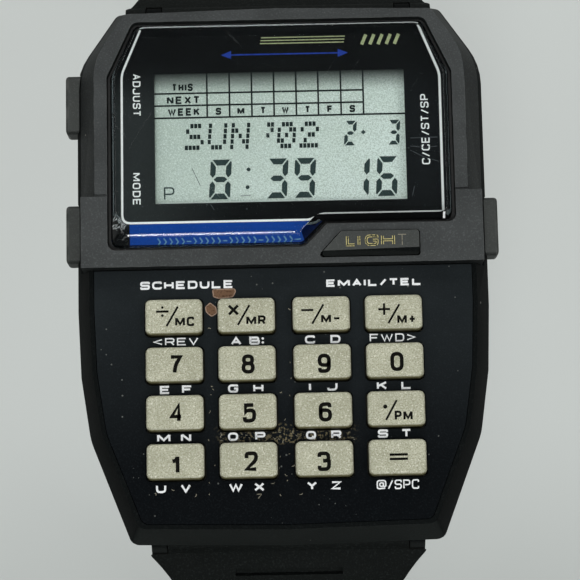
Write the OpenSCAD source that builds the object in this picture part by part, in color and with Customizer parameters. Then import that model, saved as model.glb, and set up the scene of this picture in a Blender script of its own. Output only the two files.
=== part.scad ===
// Digital calculator watch with a four by four keypad, standing on its open strap.
// Millimetres. X runs from 9 to 3 o'clock, Y from 6 to 12 o'clock, Z up through the crystal.
// The origin is the centre of the case back's outer face.

/* [Case] */
// Width of the case body
case_w = 38; // [36:0.5:42]
// Length of the case, with what top_end_in takes off added
case_l = 51.2; // [50:0.2:56]
// How far the 12 o'clock end and its cut corners are drawn in below the bezel
top_end_in = 0.8; // [0.4:0.1:1]
// How far the 12 o'clock corners are drawn in from the side
top_taper = 3.8; // [2:0.2:5]
// How far the 6 o'clock corners are drawn in from the side
bottom_taper = 4.8; // [3.6:0.2:5.4]
// How far each end bows out past its corners
end_bow = 0.3; // [0.1:0.1:0.8]
// Length of the cut corner at 12 o'clock, where it meets the side
top_corner_l = 5.8; // [5:0.1:7]
// Length of the tapering flank towards 6 o'clock
flank_l = 21.6; // [20:0.5:23]
// Radius of the four corners at the ends
corner_r = 0.8; // [0.4:0.1:1.2]
// Radius between the cut corners and the sides
shoulder_r = 6; // [4:0.5:8]
// How far the side leans in down to the foot
foot_lean = 1.4; // [0.8:0.1:1.6]
// How far the side leans in up to the bezel
side_lean = 1.9; // [1.2:0.1:2.1]
// Height of the foot's edge over the case back's face
foot_z = 0.4; // [0.2:0.1:0.6]
// Height at which the upright part of the side starts
side_low_z = 3.4; // [2.4:0.2:4]
// Height of the upright part of the side
side_h = 3.2; // [2.4:0.2:3.4]
// Wall from the side to the room for the module
case_wall = 4; // [3.6:0.1:4.4]
// Wall from each end to the room for the module
end_wall = 4.7; // [4.4:0.1:5]

/* [Case back] */
// Thickness of the case back
back_t = 1; // [0.8:0.1:1.4]
// How far the case back's edge lies inside the case outline
back_inset = 1.85; // [1.8:0.05:2.2]
// Width and height of the case back gasket
gasket_w = 0.6; // [0.4:0.1:0.8]
// Distance of the screws from the case side
screw_in_x = 6.6; // [6:0.1:7]
// Distance of the screws from the case end
screw_in_y = 6.2; // [5.8:0.1:6.4]
// Radius of the screw heads
screw_head_r = 1.1; // [0.9:0.05:1.2]
// Height of the screw heads
screw_head_h = 0.5; // [0.3:0.1:0.6]
// Radius of the screw shanks
screw_r = 0.6; // [0.4:0.05:0.7]
// Length of the screws over all
screw_l = 4.2; // [3:0.1:4.4]

/* [Display] */
// Distance of the crystal's sides from the case side
crystal_in_x = 3.4; // [3:0.1:4]
// Gap between the LIGHT button and the crystal's lower edge
light_gap = 1.1; // [0.95:0.05:1.35]
// How much further the crystal reaches down on the other side
crystal_drop = 2.1; // [1.6:0.1:2.2]
// Distance of that deeper part of the crystal from the LIGHT button
drop_gap = 1.44; // [1.1:0.02:3]
// Distance of the crystal's upper edge from the case end
crystal_end_in = 3.3; // [3.2:0.1:4]
// Length of the crystal's cut corners along Y
crystal_cut_l = 4.9; // [3:0.1:5.5]
// Depth of the crystal's cut corners along X
crystal_cut_w = 2.3; // [1.5:0.1:3]
// Thickness of the crystal
crystal_t = 2.25; // [1.8:0.05:2.8]
// How far the crystal stands over the bezel
crystal_proud = 0.6; // [0.3:0.05:0.8]
// Radius of the crystal's corners
crystal_corner_r = 0.7; // [0.3:0.05:0.9]
// Width of the crystal's bevel
crystal_bevel_w = 0.5; // [0.3:0.05:0.8]
// Width of the bevel round the crystal's deeper part
drop_bevel_w = 0.95; // [0.5:0.05:1.1]
// Drop of the crystal's bevel
crystal_bevel_h = 0.7; // [0.4:0.05:0.9]
// Thickness of the printed mask under the crystal
mask_t = 0.2; // [0.1:0.05:0.3]
// Distance of the display glass from the crystal's sides
lcd_in_x = 3; // [2.6:0.1:3.4]
// Distance of the display glass from the crystal's ends, on average
lcd_in_y = 2.675; // [2.575:0.05:2.975]
// How much lower the display's middle lies than the crystal's
display_drop = 1.025; // [0.925:0.05:1.125]
// How far the mask laps over the sides of the display glass
mask_lap_x = 1.025; // [0.6:0.025:1.6]
// How far the mask laps over the ends of the display glass
mask_lap_y = 0.7; // [0.4:0.05:1.2]
// How much further the display window reaches down than up
window_low = 0.3; // [0:0.05:0.3]
// Thickness of the display glass
lcd_t = 1.4; // [1:0.1:1.6]
// Height of the conductive rubber strips under the glass
zebra_h = 0.8; // [0.6:0.1:1]
// Width of the conductive rubber strips
zebra_w = 1.1; // [0.8:0.1:1.2]
// Thickness of the backlight panel
backlight_t = 0.35; // [0.2:0.05:0.5]
// Wall of the frame round the display glass
frame_wall = 0.85; // [0.7:0.05:0.9]
// Lip of the frame over the display glass
frame_lip = 0.6; // [0.4:0.1:0.8]

/* [Module] */
// Room under the circuit board for the cell
cell_room = 4; // [3.8:0.1:4.4]
// Thickness of the circuit board
board_t = 0.8; // [0.6:0.1:1]
// Radius of the cell
cell_r = 10; // [9:0.25:10]
// Thickness of the cell
cell_t = 2.5; // [2:0.1:2.6]
// Distance of the cell from the end of its bay
cell_in_y = 2.4; // [1.9:0.1:2.9]
// Thickness of the cell clip's strip
clip_strip_t = 0.4; // [0.2:0.05:0.4]
// Width of the cell clip's strip
clip_strip_w = 5; // [3:0.5:7]
// Radius of the potted chip
chip_r = 3.2; // [2.5:0.1:3.6]
// Height of the potted chip
chip_h = 0.7; // [0.5:0.1:0.9]
// Radius of the quartz can
quartz_r = 1; // [0.75:0.05:1]
// Length of the quartz can
quartz_l = 6; // [5:0.25:6.5]
// Radius of the buzzer disc
buzzer_r = 7; // [6:0.25:7]
// Thickness of the buzzer disc
buzzer_t = 0.35; // [0.2:0.05:0.5]
// Distance of the buzzer disc from the end of the cell's bay
buzzer_in_y = 1.9; // [1.5:0.1:2.5]

/* [Keypad] */
// Space between the keys of two columns
key_space_x = 1.38; // [1.2:0.02:2]
// Space between the keys of two rows
key_space_y = 1.14; // [1.1:0.02:1.4]
// Corner radius of a key
key_corner_r = 0.5; // [0.2:0.05:0.8]
// Distance of the outer columns from the case side
keys_in_x = 9.015; // [8.9:0.005:9.4]
// How much wider the middle spacing of the columns is than the outer ones
middle_extra = 0.23; // [0:0.01:0.3]
// Distance of the first row from the bridge
first_row_in = 4.57; // [4.4:0.01:4.6]
// Distance of the last row from the case end
last_row_in = 7.49; // [7.4:0.01:7.7]
// How far a key stands over the panel
key_proud = 0.95; // [0.7:0.05:1.2]
// How far a key's flange reaches past its cap
flange_w = 0.34; // [0.25:0.01:0.36]
// Thickness of a key's flange
flange_t = 0.5; // [0.3:0.05:0.6]
// Travel of a key and of the LIGHT button
key_travel = 0.5; // [0.3:0.05:0.6]
// Height that a dome of the mat keeps when its key is down
dome_core = 0.65; // [0.5:0.05:0.9]
// Thickness of the case deck that the keys come through
deck_t = 0.9; // [0.7:0.05:1.1]
// Thickness of the printed panel on the deck
panel_t = 0.45; // [0.3:0.05:0.5]
// How far the panel's edge lies inside the case outline
panel_inset = 1.72; // [1.7:0.02:2]
// Thickness of the keypad mat
mat_t = 0.4; // [0.3:0.05:0.5]
// Radius of a dome on the mat, at its foot
dome_r = 1.7; // [1.3:0.1:1.8]

/* [Bridge and LIGHT button] */
// Where the bridge between keypad and display starts, along Y
bridge_y = -0.4; // [-0.5:0.05:-0.3]
// Length of the bridge along Y
bridge_l = 6.6; // [6:0.1:7]
// How far the bridge's ends lie inside the case side
bridge_inset = 0.65; // [0.5:0.05:0.8]
// How far the bridge stands over the bezel
bridge_rise = 0.12; // [0.05:0.01:0.3]
// Distance of the LIGHT button's right end from the case side
light_in_x = 6.55; // [5.9:0.05:6.55]
// Length of the LIGHT button
light_w = 9.11; // [8:0.01:9.5]
// Lower edge of the LIGHT button, along Y
light_y = 0.25; // [0.2:0.01:0.35]
// Width of the LIGHT button, along Y
light_l = 2.2; // [2:0.01:2.3]
// Slant of the LIGHT button's left end
light_slant = 2.02; // [1.5:0.01:2.4]
// How far the LIGHT button stands over the bridge
light_proud = 0.45; // [0.3:0.01:0.6]

/* [Side buttons] */
// Height of the middle of the side buttons
button_z = 5.4; // [5.3:0.05:5.5]
// Height of a side button's cap
cap_h = 3; // [2.4:0.1:3]
// How far the side buttons stand out
cap_proud = 1.1; // [0.8:0.05:1.4]
// Depth of a cap's pocket
pocket_d = 1.3; // [1.1:0.05:1.4]
// Length of the upper left button
adjust_l = 5.6; // [5:0.1:6.4]
// Distance of the upper left button's middle from the case end
adjust_in_y = 9.75; // [9.5:0.05:10.2]
// Length of the two lower buttons
mode_l = 5.5; // [5:0.1:6]
// Middle of the two lower buttons, along Y
mode_y = 3.45; // [3.2:0.05:3.6]
// Radius of a button's stem
stem_r = 0.75; // [0.6:0.05:0.8]
// Travel of a side button
button_travel = 0.7; // [0.4:0.05:0.7]
// Outer radius of a stem's snap ring
ring_r = 1.2; // [1:0.05:1.3]
// Thickness of a stem's snap ring
ring_t = 0.3; // [0.2:0.05:0.35]
// Outer radius of a button's spring room
spring_room_r = 1.5; // [1.3:0.05:1.5]
// Thickness of the spring wire
wire_d = 0.3; // [0.2:0.02:0.34]

/* [Strap] */
// Distance of the strap's hinge from the case end
hinge_in = 1.1; // [1:0.05:1.2]
// Height of the strap's hinge
hinge_z = 3; // [2.9:0.05:3.2]
// How far the strap's shoulders at 6 o'clock lie inside the case's upper corners
shoulder_in = 2.6; // [2.2:0.1:3.2]
// How far the shoulders at 12 o'clock reach out past those at 6 o'clock
upper_shoulder_out = 1.3; // [0.8:0.1:1.6]
// Height over which the strap at 12 o'clock narrows
upper_shoulder_l = 13.4; // [10:0.2:15]
// Height over which the strap at 6 o'clock narrows
lower_shoulder_l = 6.4; // [5:0.2:8]
// Half width of the strap below its shoulders
strap_half = 9; // [9:0.1:10]
// Thickness of the strap at its root
root_t = 2.9; // [2.6:0.05:3]
// Thickness of the strap
strap_t = 2.2; // [1.8:0.05:2.4]
// Slope of the strap where it leaves the case
strap_slope = 35; // [30:1:40]
// Straight length before the strap bends down
root_l = 4; // [3:0.25:6]
// Radius of the bend from the root to the leg
bend_r = 16; // [14:0.5:20]
// Length of the upright leg
leg_l = 31; // [28:0.5:36]
// Radius of the turn under the wrist
turn_r = 14; // [12:0.5:15]
// Gap between the tip of the strap and the buckle
strap_tip_gap = 3.15; // [2:0.05:7]
// Radius of the strap's holes
hole_r = 1.2; // [1:0.05:1.4]
// Spacing of the strap's holes
hole_pitch = 6; // [5:0.25:6.25]
// Number of holes in the strap
hole_count = 9; // [5:1:9]
// Radius of the spring bars
bar_r = 0.75; // [0.6:0.05:0.8]
// Radius of the spring bars' tips
tip_r = 0.45; // [0.35:0.05:0.5]
// Radius of the strap's barrel round its spring bar
barrel_r = 1.7; // [1.6:0.05:1.7]
// Width of a case ear that holds a spring bar
ear_w = 1.4; // [1.2:0.1:1.6]
// How far the ears reach in past the strap's shoulders
ear_lap = 1.4; // [1.2:0.1:1.6]
// Width of the keeper on the strap
keeper_w = 6; // [4:0.5:8]
// Wall of the keeper
keeper_wall = 1.2; // [0.8:0.1:1.6]
// Distance of the keeper from the turn under the wrist
keeper_up = 2.4; // [1:0.2:4]

/* [Buckle] */
// Radius of the buckle's bar
buckle_bar_r = 0.7; // [0.6:0.05:0.75]
// Radius of the strap's barrel round the buckle's bar
buckle_barrel_r = 1.6; // [1.5:0.05:1.8]
// Length of the buckle from its bar to its far edge
buckle_l = 10.4; // [9:0.2:11]
// Width of an arm of the buckle
arm_w = 1.8; // [1.4:0.1:2.2]
// Thickness of the buckle
buckle_t = 1.6; // [1.2:0.1:1.8]
// Half width of the tongue
tongue_half = 0.9; // [0.6:0.05:1]
// Thickness of the tongue
tongue_t = 0.85; // [0.6:0.05:0.9]

/* [Fits] */
// Gap round each key in the deck and the panel
key_gap = 0.12; // [0.08:0.01:0.16]
// Gap round a side button's cap, and round the LIGHT button
cap_gap = 0.1; // [0.06:0.01:0.14]
// Radial gap of every turning or sliding pin
pin_gap = 0.05; // [0.03:0.01:0.08]
// Gap round parts that are laid in a seat
seat_gap = 0.05; // [0.02:0.01:0.1]
// Gap round the crystal that its gasket fills
gasket_gap = 0.3; // [0.2:0.02:0.4]
// Gap between the strap and the ears at its sides
ear_gap = 0.1; // [0.1:0.05:0.25]

/* [Hidden] */
// The keys row by row from the upper left
KEYS = ["key_divide", "key_multiply", "key_minus", "key_plus",
        "key_7", "key_8", "key_9", "key_0",
        "key_4", "key_5", "key_6", "key_point",
        "key_1", "key_2", "key_3", "key_equals"];
SCREWS = ["back_screw_1", "back_screw_2", "back_screw_3", "back_screw_4"];
$fn = 40;

// Colours
resin = [0.12, 0.13, 0.13];
bezel_grey = [0.27, 0.28, 0.28];
panel_black = [0.10, 0.12, 0.13];
key_beige = [0.70, 0.70, 0.61];
button_grey = [0.28, 0.29, 0.28];
steel = [0.72, 0.72, 0.71];
rubber = [0.08, 0.08, 0.08];

// Small amounts
eps = 0.01;
over = 1;

// Heights, stacked up from the case back
board_z = back_t + cell_room;
board_top_z = board_z + board_t;
mat_top_z = board_top_z + mat_t;
key_z = mat_top_z + key_travel + dome_core;
deck_z = key_z + flange_t + seat_gap;
deck_top_z = deck_z + deck_t;
panel_top_z = deck_top_z + panel_t;
rim_z = panel_top_z + seat_gap;
key_top_z = panel_top_z + key_proud;
lcd_z = board_top_z + zebra_h;
lcd_top_z = lcd_z + lcd_t;
frame_top_z = lcd_top_z + frame_lip;
mask_z = frame_top_z + 3 * seat_gap;
crystal_z = mask_z + mask_t;
crystal_top_z = crystal_z + crystal_t;
bezel_z = crystal_top_z - crystal_proud;
bridge_z = bezel_z + bridge_rise;
bezel_ledge_t = 1.35;
seam_z = mask_z - bezel_ledge_t;
side_high_z = side_low_z + side_h;

// The case seen from above, with its 12 o'clock end drawn in
half_w = case_w / 2;
half_l = case_l / 2;
knee_in = 1.1;
knee_l = 9.8;
belly_in = 0.25;
belly_l = 15.6;
sharp_turn = 45;
bent_turn = 10;
function case_half(top_in) = [
    [half_w - bottom_taper, end_bow - half_l],
    [half_w - knee_in, knee_l - half_l],
    [half_w - belly_in, belly_l - half_l],
    [half_w, flank_l - half_l],
    [half_w, half_l - top_corner_l - top_in],
    [half_w - top_taper, half_l - end_bow - top_in]
];
function case_points(top_in) =
    concat([[0, -half_l]], case_half(top_in), [[0, half_l - top_in]], left_side(case_half(top_in)));

// Room for the module, in the body
cavity_x = half_w - case_wall;
cavity_y = half_l - end_wall;
screw_x = half_w - screw_in_x;
screw_y = half_l - screw_in_y;
post_in_x = 4.1;
post_in_y = 7.2;
bay_end_step = 1;
cell_bay_end = cavity_y - bay_end_step;
cell_bay_half = [
    [screw_x - post_in_x, -cell_bay_end],
    [cavity_x, post_in_y - screw_y],
    [cavity_x, screw_y - post_in_y],
    [screw_x - post_in_x, cell_bay_end]
];
cell_bay = concat(cell_bay_half, left_side(cell_bay_half));
low_cut_w = 1.7;
low_cut_l = 4.7;
top_cut_w = 2.6;
top_cut_l = 4.1;
cavity_half = [
    [cavity_x - low_cut_w, -cavity_y],
    [cavity_x, low_cut_l - cavity_y],
    [cavity_x, cavity_y - top_cut_l],
    [cavity_x - top_cut_w, cavity_y]
];
cavity = concat(cavity_half, left_side(cavity_half));
ring_gap = 0.02;
stem_tip = 0.3;
stem_rest = 0.28;
board_half_w = cavity_x - ring_gap - ring_t - stem_tip - button_travel - stem_rest;
board_inset = 0.3;
gasket_inset = 0.35;
gasket_crush = 0.1;
back_end_in = 4.2;
back_end = half_l - back_end_in;
screw_sink = 0.1;

// Strap bay and hinge
hinge_y = half_l - hinge_in;
bay_l = 2.4;
bay_y = hinge_y - bay_l;
bay_up = 1.85;
bay_z = hinge_z + bay_up;
shoulder_half = half_w - top_taper - shoulder_in;
ear_x = shoulder_half - ear_lap;
ear_r = barrel_r + seat_gap - ear_gap;
ear_front_l = 0.6;
tip_gap_depth = 1;
tip_l = 0.9;
end_gap = 0.1;
spring_bar_half = ear_x - end_gap;

// Pegs that hold the bezel on the body
peg_r = 0.6;
peg_l = 1.5;
peg_gap = 0.1;
peg_in_x = 2.2;
peg_in_y = 2.6;
adjust_y = half_l - adjust_in_y;
peg_side_x = half_w - peg_in_x;
peg_side_y = (adjust_y - adjust_l / 2 + mode_y + mode_l / 2) / 2;
peg_end_x = 7;
peg_end_y = half_l - peg_in_y;
peg_places = [[peg_side_x, peg_side_y], [peg_end_x, peg_end_y],
              [-peg_side_x, peg_side_y], [-peg_end_x, peg_end_y]];

// Bridge, crystal and display
bridge_end_y = bridge_y + bridge_l;
bridge_half_w = half_w - bridge_inset;
bezel_overlap = 0.3;
groove_w = 0.2;
groove_d = 0.3;
light_x = half_w - light_in_x - light_w;
crystal_half_w = half_w - crystal_in_x;
crystal_low_y = light_y + light_l + light_gap;
crystal_drop_x = light_x - drop_gap;
crystal_end_y = half_l - crystal_end_in;
crystal_main = [
    [-crystal_half_w, crystal_low_y],
    [crystal_half_w, crystal_low_y],
    [crystal_half_w, crystal_end_y - crystal_cut_l],
    [crystal_half_w - crystal_cut_w, crystal_end_y],
    [crystal_cut_w - crystal_half_w, crystal_end_y],
    [-crystal_half_w, crystal_end_y - crystal_cut_l]
];
drop_overlap = 3;
crystal_lower = [
    [-crystal_half_w, crystal_low_y - crystal_drop],
    [crystal_drop_x, crystal_low_y - crystal_drop],
    [crystal_drop_x + crystal_drop + drop_overlap, crystal_low_y + drop_overlap],
    [-crystal_half_w, crystal_low_y + drop_overlap]
];
opening_inset = 0.9;
gasket_h = 0.75;
display_y = (crystal_low_y + crystal_end_y) / 2 - display_drop;
lcd_half_w = crystal_half_w - lcd_in_x;
lcd_half_l = (crystal_end_y - crystal_low_y) / 2 - lcd_in_y;
window_w = 2 * (lcd_half_w - mask_lap_x);
window_h = 2 * (lcd_half_l - mask_lap_y);
frame_end_wall = 0.6;
frame_half_w = lcd_half_w + frame_wall + seat_gap;
frame_half_l = lcd_half_l + frame_end_wall;
frame_open = 0.6;
zebra_in = 0.6;
backlight_in = 0.7;
backlight_gap = 0.2;

// LIGHT button
light_shape = [
    [light_x, light_y],
    [light_x + light_w, light_y],
    [light_x + light_w, light_y + light_l],
    [light_x + light_slant, light_y + light_l]
];
light_corner_r = 0.25;
light_flange_w = 0.5;
light_flange_t = 0.45;
light_flange_up = 0.2;
light_flange_top_z = mask_z + light_flange_up;
light_room_z = light_flange_top_z + seat_gap;
light_top_z = bridge_z + light_proud;
light_stem_x = light_x + light_w / 2;
light_stem_y = light_y + light_l / 2;
light_stem_r = 0.75;
light_stem_rest = 0.3;
light_stem_z = mat_top_z + key_travel + light_stem_rest;
light_spring_r = 1.1;
light_wire_d = 0.24;

// Side buttons, worked out on the right side
cap_rest = 0.2;
pocket_x = half_w - pocket_d;
cap_in_x = pocket_x + button_travel + cap_rest;
cap_out_x = half_w + cap_proud;
spring_room_l = 1.1;
spring_room_x = pocket_x - spring_room_l;
seal_in = 0.1;
seal_x = spring_room_x - seal_in;
seal_t = 0.6;
seal_w = 0.45;
seal_r = stem_r + seal_w;
ring_x = cavity_x - ring_gap;
ring_rest = 0.8;
ring_room = button_travel + ring_rest;
ring_seat_r = 0.5;
stem_end_x = ring_x - ring_t - stem_tip;
cap_corner_r = 0.5;
wire_gap = 0.15;
button_spring_r = spring_room_r - wire_d / 2 - wire_gap;

// Keys
outer_x = half_w - keys_in_x;
outer_pitch = (2 * outer_x - middle_extra) / 3;
middle_x = outer_x - outer_pitch;
column_x = [-outer_x, -middle_x, middle_x, outer_x];
key_w = outer_pitch - key_space_x;
first_row_y = bridge_y - first_row_in;
row_pitch = (first_row_y + half_l - last_row_in) / 3;
key_l = row_pitch - key_space_y;
mat_edge = 0.2;
mat_end_y = 2.9;
dome_top_r = 1.2;
dome_gap = 0.02;

// Battery, chip, quartz and buzzer
cell_gap = 0.6;
cell_y = cell_r + cell_in_y - cell_bay_end;
cell_z = board_z - cell_gap - cell_t;
cell_step = 0.5;
cell_cap_in = 1;
clip_z = cell_z - seat_gap - clip_strip_t;
clip_out = 1.2;
clip_half_w = cell_r + clip_out;
chip_slope_w = 0.5;
chip_in = [5.4, 3.9];
chip_at = [chip_in.x - board_half_w, display_y - chip_in.y];
quartz_in = [4.9, 2.9];
quartz_at = [board_half_w - quartz_in.x, display_y - quartz_in.y];
buzzer_at = [0, cell_bay_end - buzzer_r - buzzer_in_y];
buzzer_spring_r = 1.2;

// Strap centre line: distances along it at which its runs end, and its points
bend_end_s = root_l + bend_r * (90 - strap_slope) * PI / 180;
leg_end_s = bend_end_s + leg_l;
turn_end_s = leg_end_s + turn_r * PI / 2;
hinge = [hinge_y, hinge_z];
bend_start = hinge + root_l * [cos(strap_slope), -sin(strap_slope)];
bend_end = bend_start + bend_r * [1 - sin(strap_slope), -cos(strap_slope)];
leg_end = bend_end - [0, leg_l];
turn_end = leg_end - [turn_r, turn_r];
floor_z = turn_end.y - strap_t / 2;
buckle_y = turn_end.x;
strap_tip_y = buckle_y - buckle_l - strap_tip_gap;
hole_strap_l = turn_end_s + turn_end.x + strap_tip_y;
bend_steps = 8;
turn_steps = 12;
thin_s = 18;
shoulder_top = 0.4;
shoulder_power = 2.3;
shoulder_steps = 10;
upper_flare = 0.7;
lower_flare = 0.1;
heel_in = 1.5;
heel_up = 1.7;
notch_r = barrel_r + seat_gap;
rib_half_w = 5;
rib_w = 0.8;
rib_d = 0.5;
rib_places = [3.2, 6.4, 9.6];
first_hole_in = 16;

// Buckle
buckle_z = floor_z + buckle_t / 2 + pin_gap + tongue_t;
buckle_tip_r = 0.5;
arm_gap = 0.25;
arm_x = strap_half + arm_gap;
buckle_bar_half = arm_x - seat_gap;
arm_tip_l = 1.4;
eye_boss_r = 1.3;
slot_half = 1.3;
slot_l = 5;
tongue_eye_r = 1.45;
tongue_eye_half = 1.05;
tongue_short = 0.3;
tongue_root = 0.5;
keeper_z = leg_end.y + keeper_up;
keeper_gap = 0.3;
keeper_room = 2 * (strap_t + keeper_gap);

// Points of the left side, which mirror those of the right side from top to bottom
function left_side(half) = [for (i = [len(half) - 1 : -1 : 0]) [-half[i].x, half[i].y]];

// A vector of length 1
function unit(v) = v / norm(v);

// Points of a round corner of radius r at b, in n steps
function corner(a, b, c, r, n) =
    let (u = unit(a - b), v = unit(c - b))
    let (half = acos(u * v) / 2, middle = b + unit(u + v) * (r / sin(half)))
    let (p0 = b + u * (r / tan(half)) - middle, p1 = b + v * (r / tan(half)) - middle)
    let (a0 = atan2(p0.y, p0.x), turn = (atan2(p1.y, p1.x) - a0 + 540) % 360 - 180)
    [for (i = [0 : n]) middle + r * [cos(a0 + turn * i / n), sin(a0 + turn * i / n)]];

// An outline with all its corners rounded
function rounded(points, r, n = 4) =
    let (count = len(points))
    [for (i = [0 : count - 1])
        each corner(points[(i + count - 1) % count], points[i], points[(i + 1) % count], r, n)];

// The left-hand normal of a step
function left_normal(a, b) = let (d = unit(b - a)) [-d.y, d.x];

// A corner of an outline moved inwards by d
function inset_corner(a, b, c, d) =
    let (n1 = left_normal(a, b), n2 = left_normal(b, c))
    b + d * (n1 + n2) / (1 + n1 * n2);

// An outline that runs anticlockwise, moved inwards by d
function inset(points, d) =
    let (count = len(points))
    [for (i = [0 : count - 1])
        inset_corner(points[(i + count - 1) % count], points[i], points[(i + 1) % count], d)];

// The four corners of a rectangle about its middle
function rectangle(w, l) = [[-w / 2, -l / 2], [w / 2, -l / 2], [w / 2, l / 2], [-w / 2, l / 2]];

// How far an outline turns at b, in degrees
function turn_at(a, b, c) = 180 - acos(unit(a - b) * unit(c - b));

// The case outline moved inwards by d, with its bends rounded
function case_outline(d, top_in = 0) =
    let (points = inset(case_points(top_in), d), count = len(points))
    [for (i = [0 : count - 1])
        let (a = points[(i + count - 1) % count], b = points[i], c = points[(i + 1) % count])
        each (turn_at(a, b, c) > sharp_turn ? corner(a, b, c, corner_r, 4)
              : turn_at(a, b, c) > bent_turn ? corner(a, b, c, shoulder_r, 4)
              : [b])];

// Direction of the strap at the distance s from its hinge, in degrees below level
function strap_angle(s) =
    s <= root_l ? strap_slope
    : s <= bend_end_s ? strap_slope + (s - root_l) / bend_r * 180 / PI
    : s <= leg_end_s ? 90
    : s <= turn_end_s ? 90 + (s - leg_end_s) / turn_r * 180 / PI
    : 180;

// Place of the strap's centre line at the distance s, as its Y and Z
function strap_at(s) =
    let (a = strap_angle(s))
    s <= root_l ? hinge + s * [cos(a), -sin(a)]
    : s <= bend_end_s ? bend_start + bend_r * [sin(a) - sin(strap_slope), cos(a) - cos(strap_slope)]
    : s <= leg_end_s ? bend_end - [0, s - bend_end_s]
    : s <= turn_end_s ? leg_end + turn_r * [sin(a) - 1, cos(a)]
    : turn_end - [s - turn_end_s, 0];

// Thickness of the strap at the distance s
function strap_t_at(s) = root_t + (strap_t - root_t) * min(s / thin_s, 1);

// A point of the strap's outer or inner face, with side 1 or -1
function strap_face(s, side) =
    let (a = strap_angle(s))
    strap_at(s) + side * strap_t_at(s) / 2 * [sin(a), cos(a)];

// Distances at which the strap's side view has points, up to its end
function strap_stations(end) = concat(
    [0],
    [for (i = [0 : bend_steps]) root_l + (bend_end_s - root_l) * i / bend_steps],
    [for (i = [0 : turn_steps]) leg_end_s + (turn_end_s - leg_end_s) * i / turn_steps],
    end > turn_end_s ? [end] : []);

// Side view of the strap up to its end
function strap_side(end) =
    let (stations = strap_stations(end), count = len(stations))
    concat([for (s = stations) strap_face(s, 1)],
           [for (i = [count - 1 : -1 : 0]) strap_face(stations[i], -1)]);

// A box between two opposite corners
module block(low, high) {
    translate(low) cube(high - low);
}

// An outline raised from one height to another
module plate(points, low, high) {
    translate([0, 0, low]) linear_extrude(high - low) polygon(points);
}

// A cylinder along X from one place to another
module rod(r, from_x, to_x) {
    translate([from_x, 0, 0]) rotate([0, 90, 0]) cylinder(r = r, h = to_x - from_x);
}

// An outline in Y and Z, drawn along X to both sides
module side_view(points, half) {
    translate([-half, 0, 0]) rotate([90, 0, 90]) linear_extrude(2 * half) polygon(points);
}

// A solid through outlines of as many points each, at rising heights
module loft(outlines, heights) {
    count = len(outlines[0]);
    levels = len(heights);
    points = [for (k = [0 : levels - 1], p = outlines[k]) [p.x, p.y, heights[k]]];
    walls = [for (k = [0 : levels - 2], i = [0 : count - 1])
        let (a = k * count + i, b = k * count + (i + 1) % count)
        each [[a, a + count, b + count], [a, b + count, b]]];
    foot = [for (i = [0 : count - 1]) i];
    top = [for (i = [count - 1 : -1 : 0]) (levels - 1) * count + i];
    polyhedron(points, concat([foot], walls, [top]));
}

// The outer shape of the case before it is parted
module case_shape() {
    foot = case_outline(foot_lean, top_end_in);
    side = case_outline(0, top_end_in);
    loft([foot, side, side, case_outline(side_lean)],
         [foot_z, side_low_z, side_high_z, bezel_z]);
}

// A part of the crystal's outline moved inwards by d
function crystal_outline(points, d) = rounded(inset(points, d), crystal_corner_r, 3);

// The crystal's outline moved inwards by d and raised
module crystal_plate(d, low, high) {
    plate(crystal_outline(crystal_main, d), low, high);
    plate(crystal_outline(crystal_lower, d), low, high);
}

// One part of the crystal with a bevel of width bevel_w
module crystal_part(points, bevel_w) {
    edge = crystal_outline(points, 0);
    loft([edge, edge, crystal_outline(points, bevel_w)],
         [crystal_z, crystal_top_z - crystal_bevel_h, crystal_top_z]);
}

// A coil spring that stands on z = 0, one tube of six sides with eight rings a turn
module coil(r, wire, length, turns) {
    rings = 8 * turns;
    rise = (length - wire) / rings;
    middle = function (i) [r * cos(45 * i), r * sin(45 * i), wire / 2 + rise * i];
    points = [for (i = [0 : rings], j = [0 : 5])
        let (out = wire / 2 * cos(60 * j), up = wire / 2 * sin(60 * j))
        middle(i) + [out * cos(45 * i), out * sin(45 * i), up]];
    last = 6 * rings;
    faces = concat(
        [for (j = [1 : 4]) [0, j + 1, j]],
        [for (j = [1 : 4]) [last, last + j, last + j + 1]],
        [for (i = [0 : rings - 1], j = [0 : 5])
            [6 * i + j, 6 * i + (j + 1) % 6, 6 * i + 6 + (j + 1) % 6]],
        [for (i = [0 : rings - 1], j = [0 : 5])
            [6 * i + j, 6 * i + 6 + (j + 1) % 6, 6 * i + 6 + j]]);
    polyhedron(points, faces);
    echo(least_gap = min([for (i = [0 : rings - 8]) norm(middle(i + 8) - middle(i)) - wire]));
}

// The places of the four case back screws
module at_screws() {
    for (x = [-screw_x, screw_x], y = [-screw_y, screw_y])
        translate([x, y, 0]) children();
}

// A hole or a body at the place of every key
module at_keys() {
    for (i = [0 : len(KEYS) - 1])
        at_key(i) children();
}

module at_key(i) {
    translate([column_x[i % 4], first_row_y - row_pitch * floor(i / 4), 0]) children();
}

// Everything that the left, right and lower buttons cut out of the body
module button_room(y, length) {
    room = rectangle(length + 2 * cap_gap, cap_h + 2 * cap_gap);
    translate([0, y, button_z]) {
        translate([pocket_x, 0, 0]) rotate([90, 0, 90])
            linear_extrude(half_w) polygon(rounded(room, cap_corner_r + cap_gap));
        rod(spring_room_r, spring_room_x, pocket_x + over);
        rod(stem_r + pin_gap, cavity_x - over, pocket_x);
        rod(seal_r, seal_x - seal_t, seal_x);
        rod(ring_r + 2 * cap_gap, cavity_x - ring_room, cavity_x);
    }
}

module side_button(y, length) {
    cap = rectangle(length, cap_h);
    color(button_grey)
    translate([0, y, button_z]) difference() {
        union() {
            translate([cap_in_x, 0, 0]) rotate([90, 0, 90])
                linear_extrude(cap_out_x - cap_in_x) polygon(rounded(cap, cap_corner_r));
            rod(stem_r, stem_end_x, cap_in_x + eps);
        }
        difference() {
            rod(stem_r + over, ring_x - ring_t - eps, ring_x + eps);
            rod(ring_seat_r - eps, stem_end_x, cap_in_x);
        }
    }
}

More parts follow.
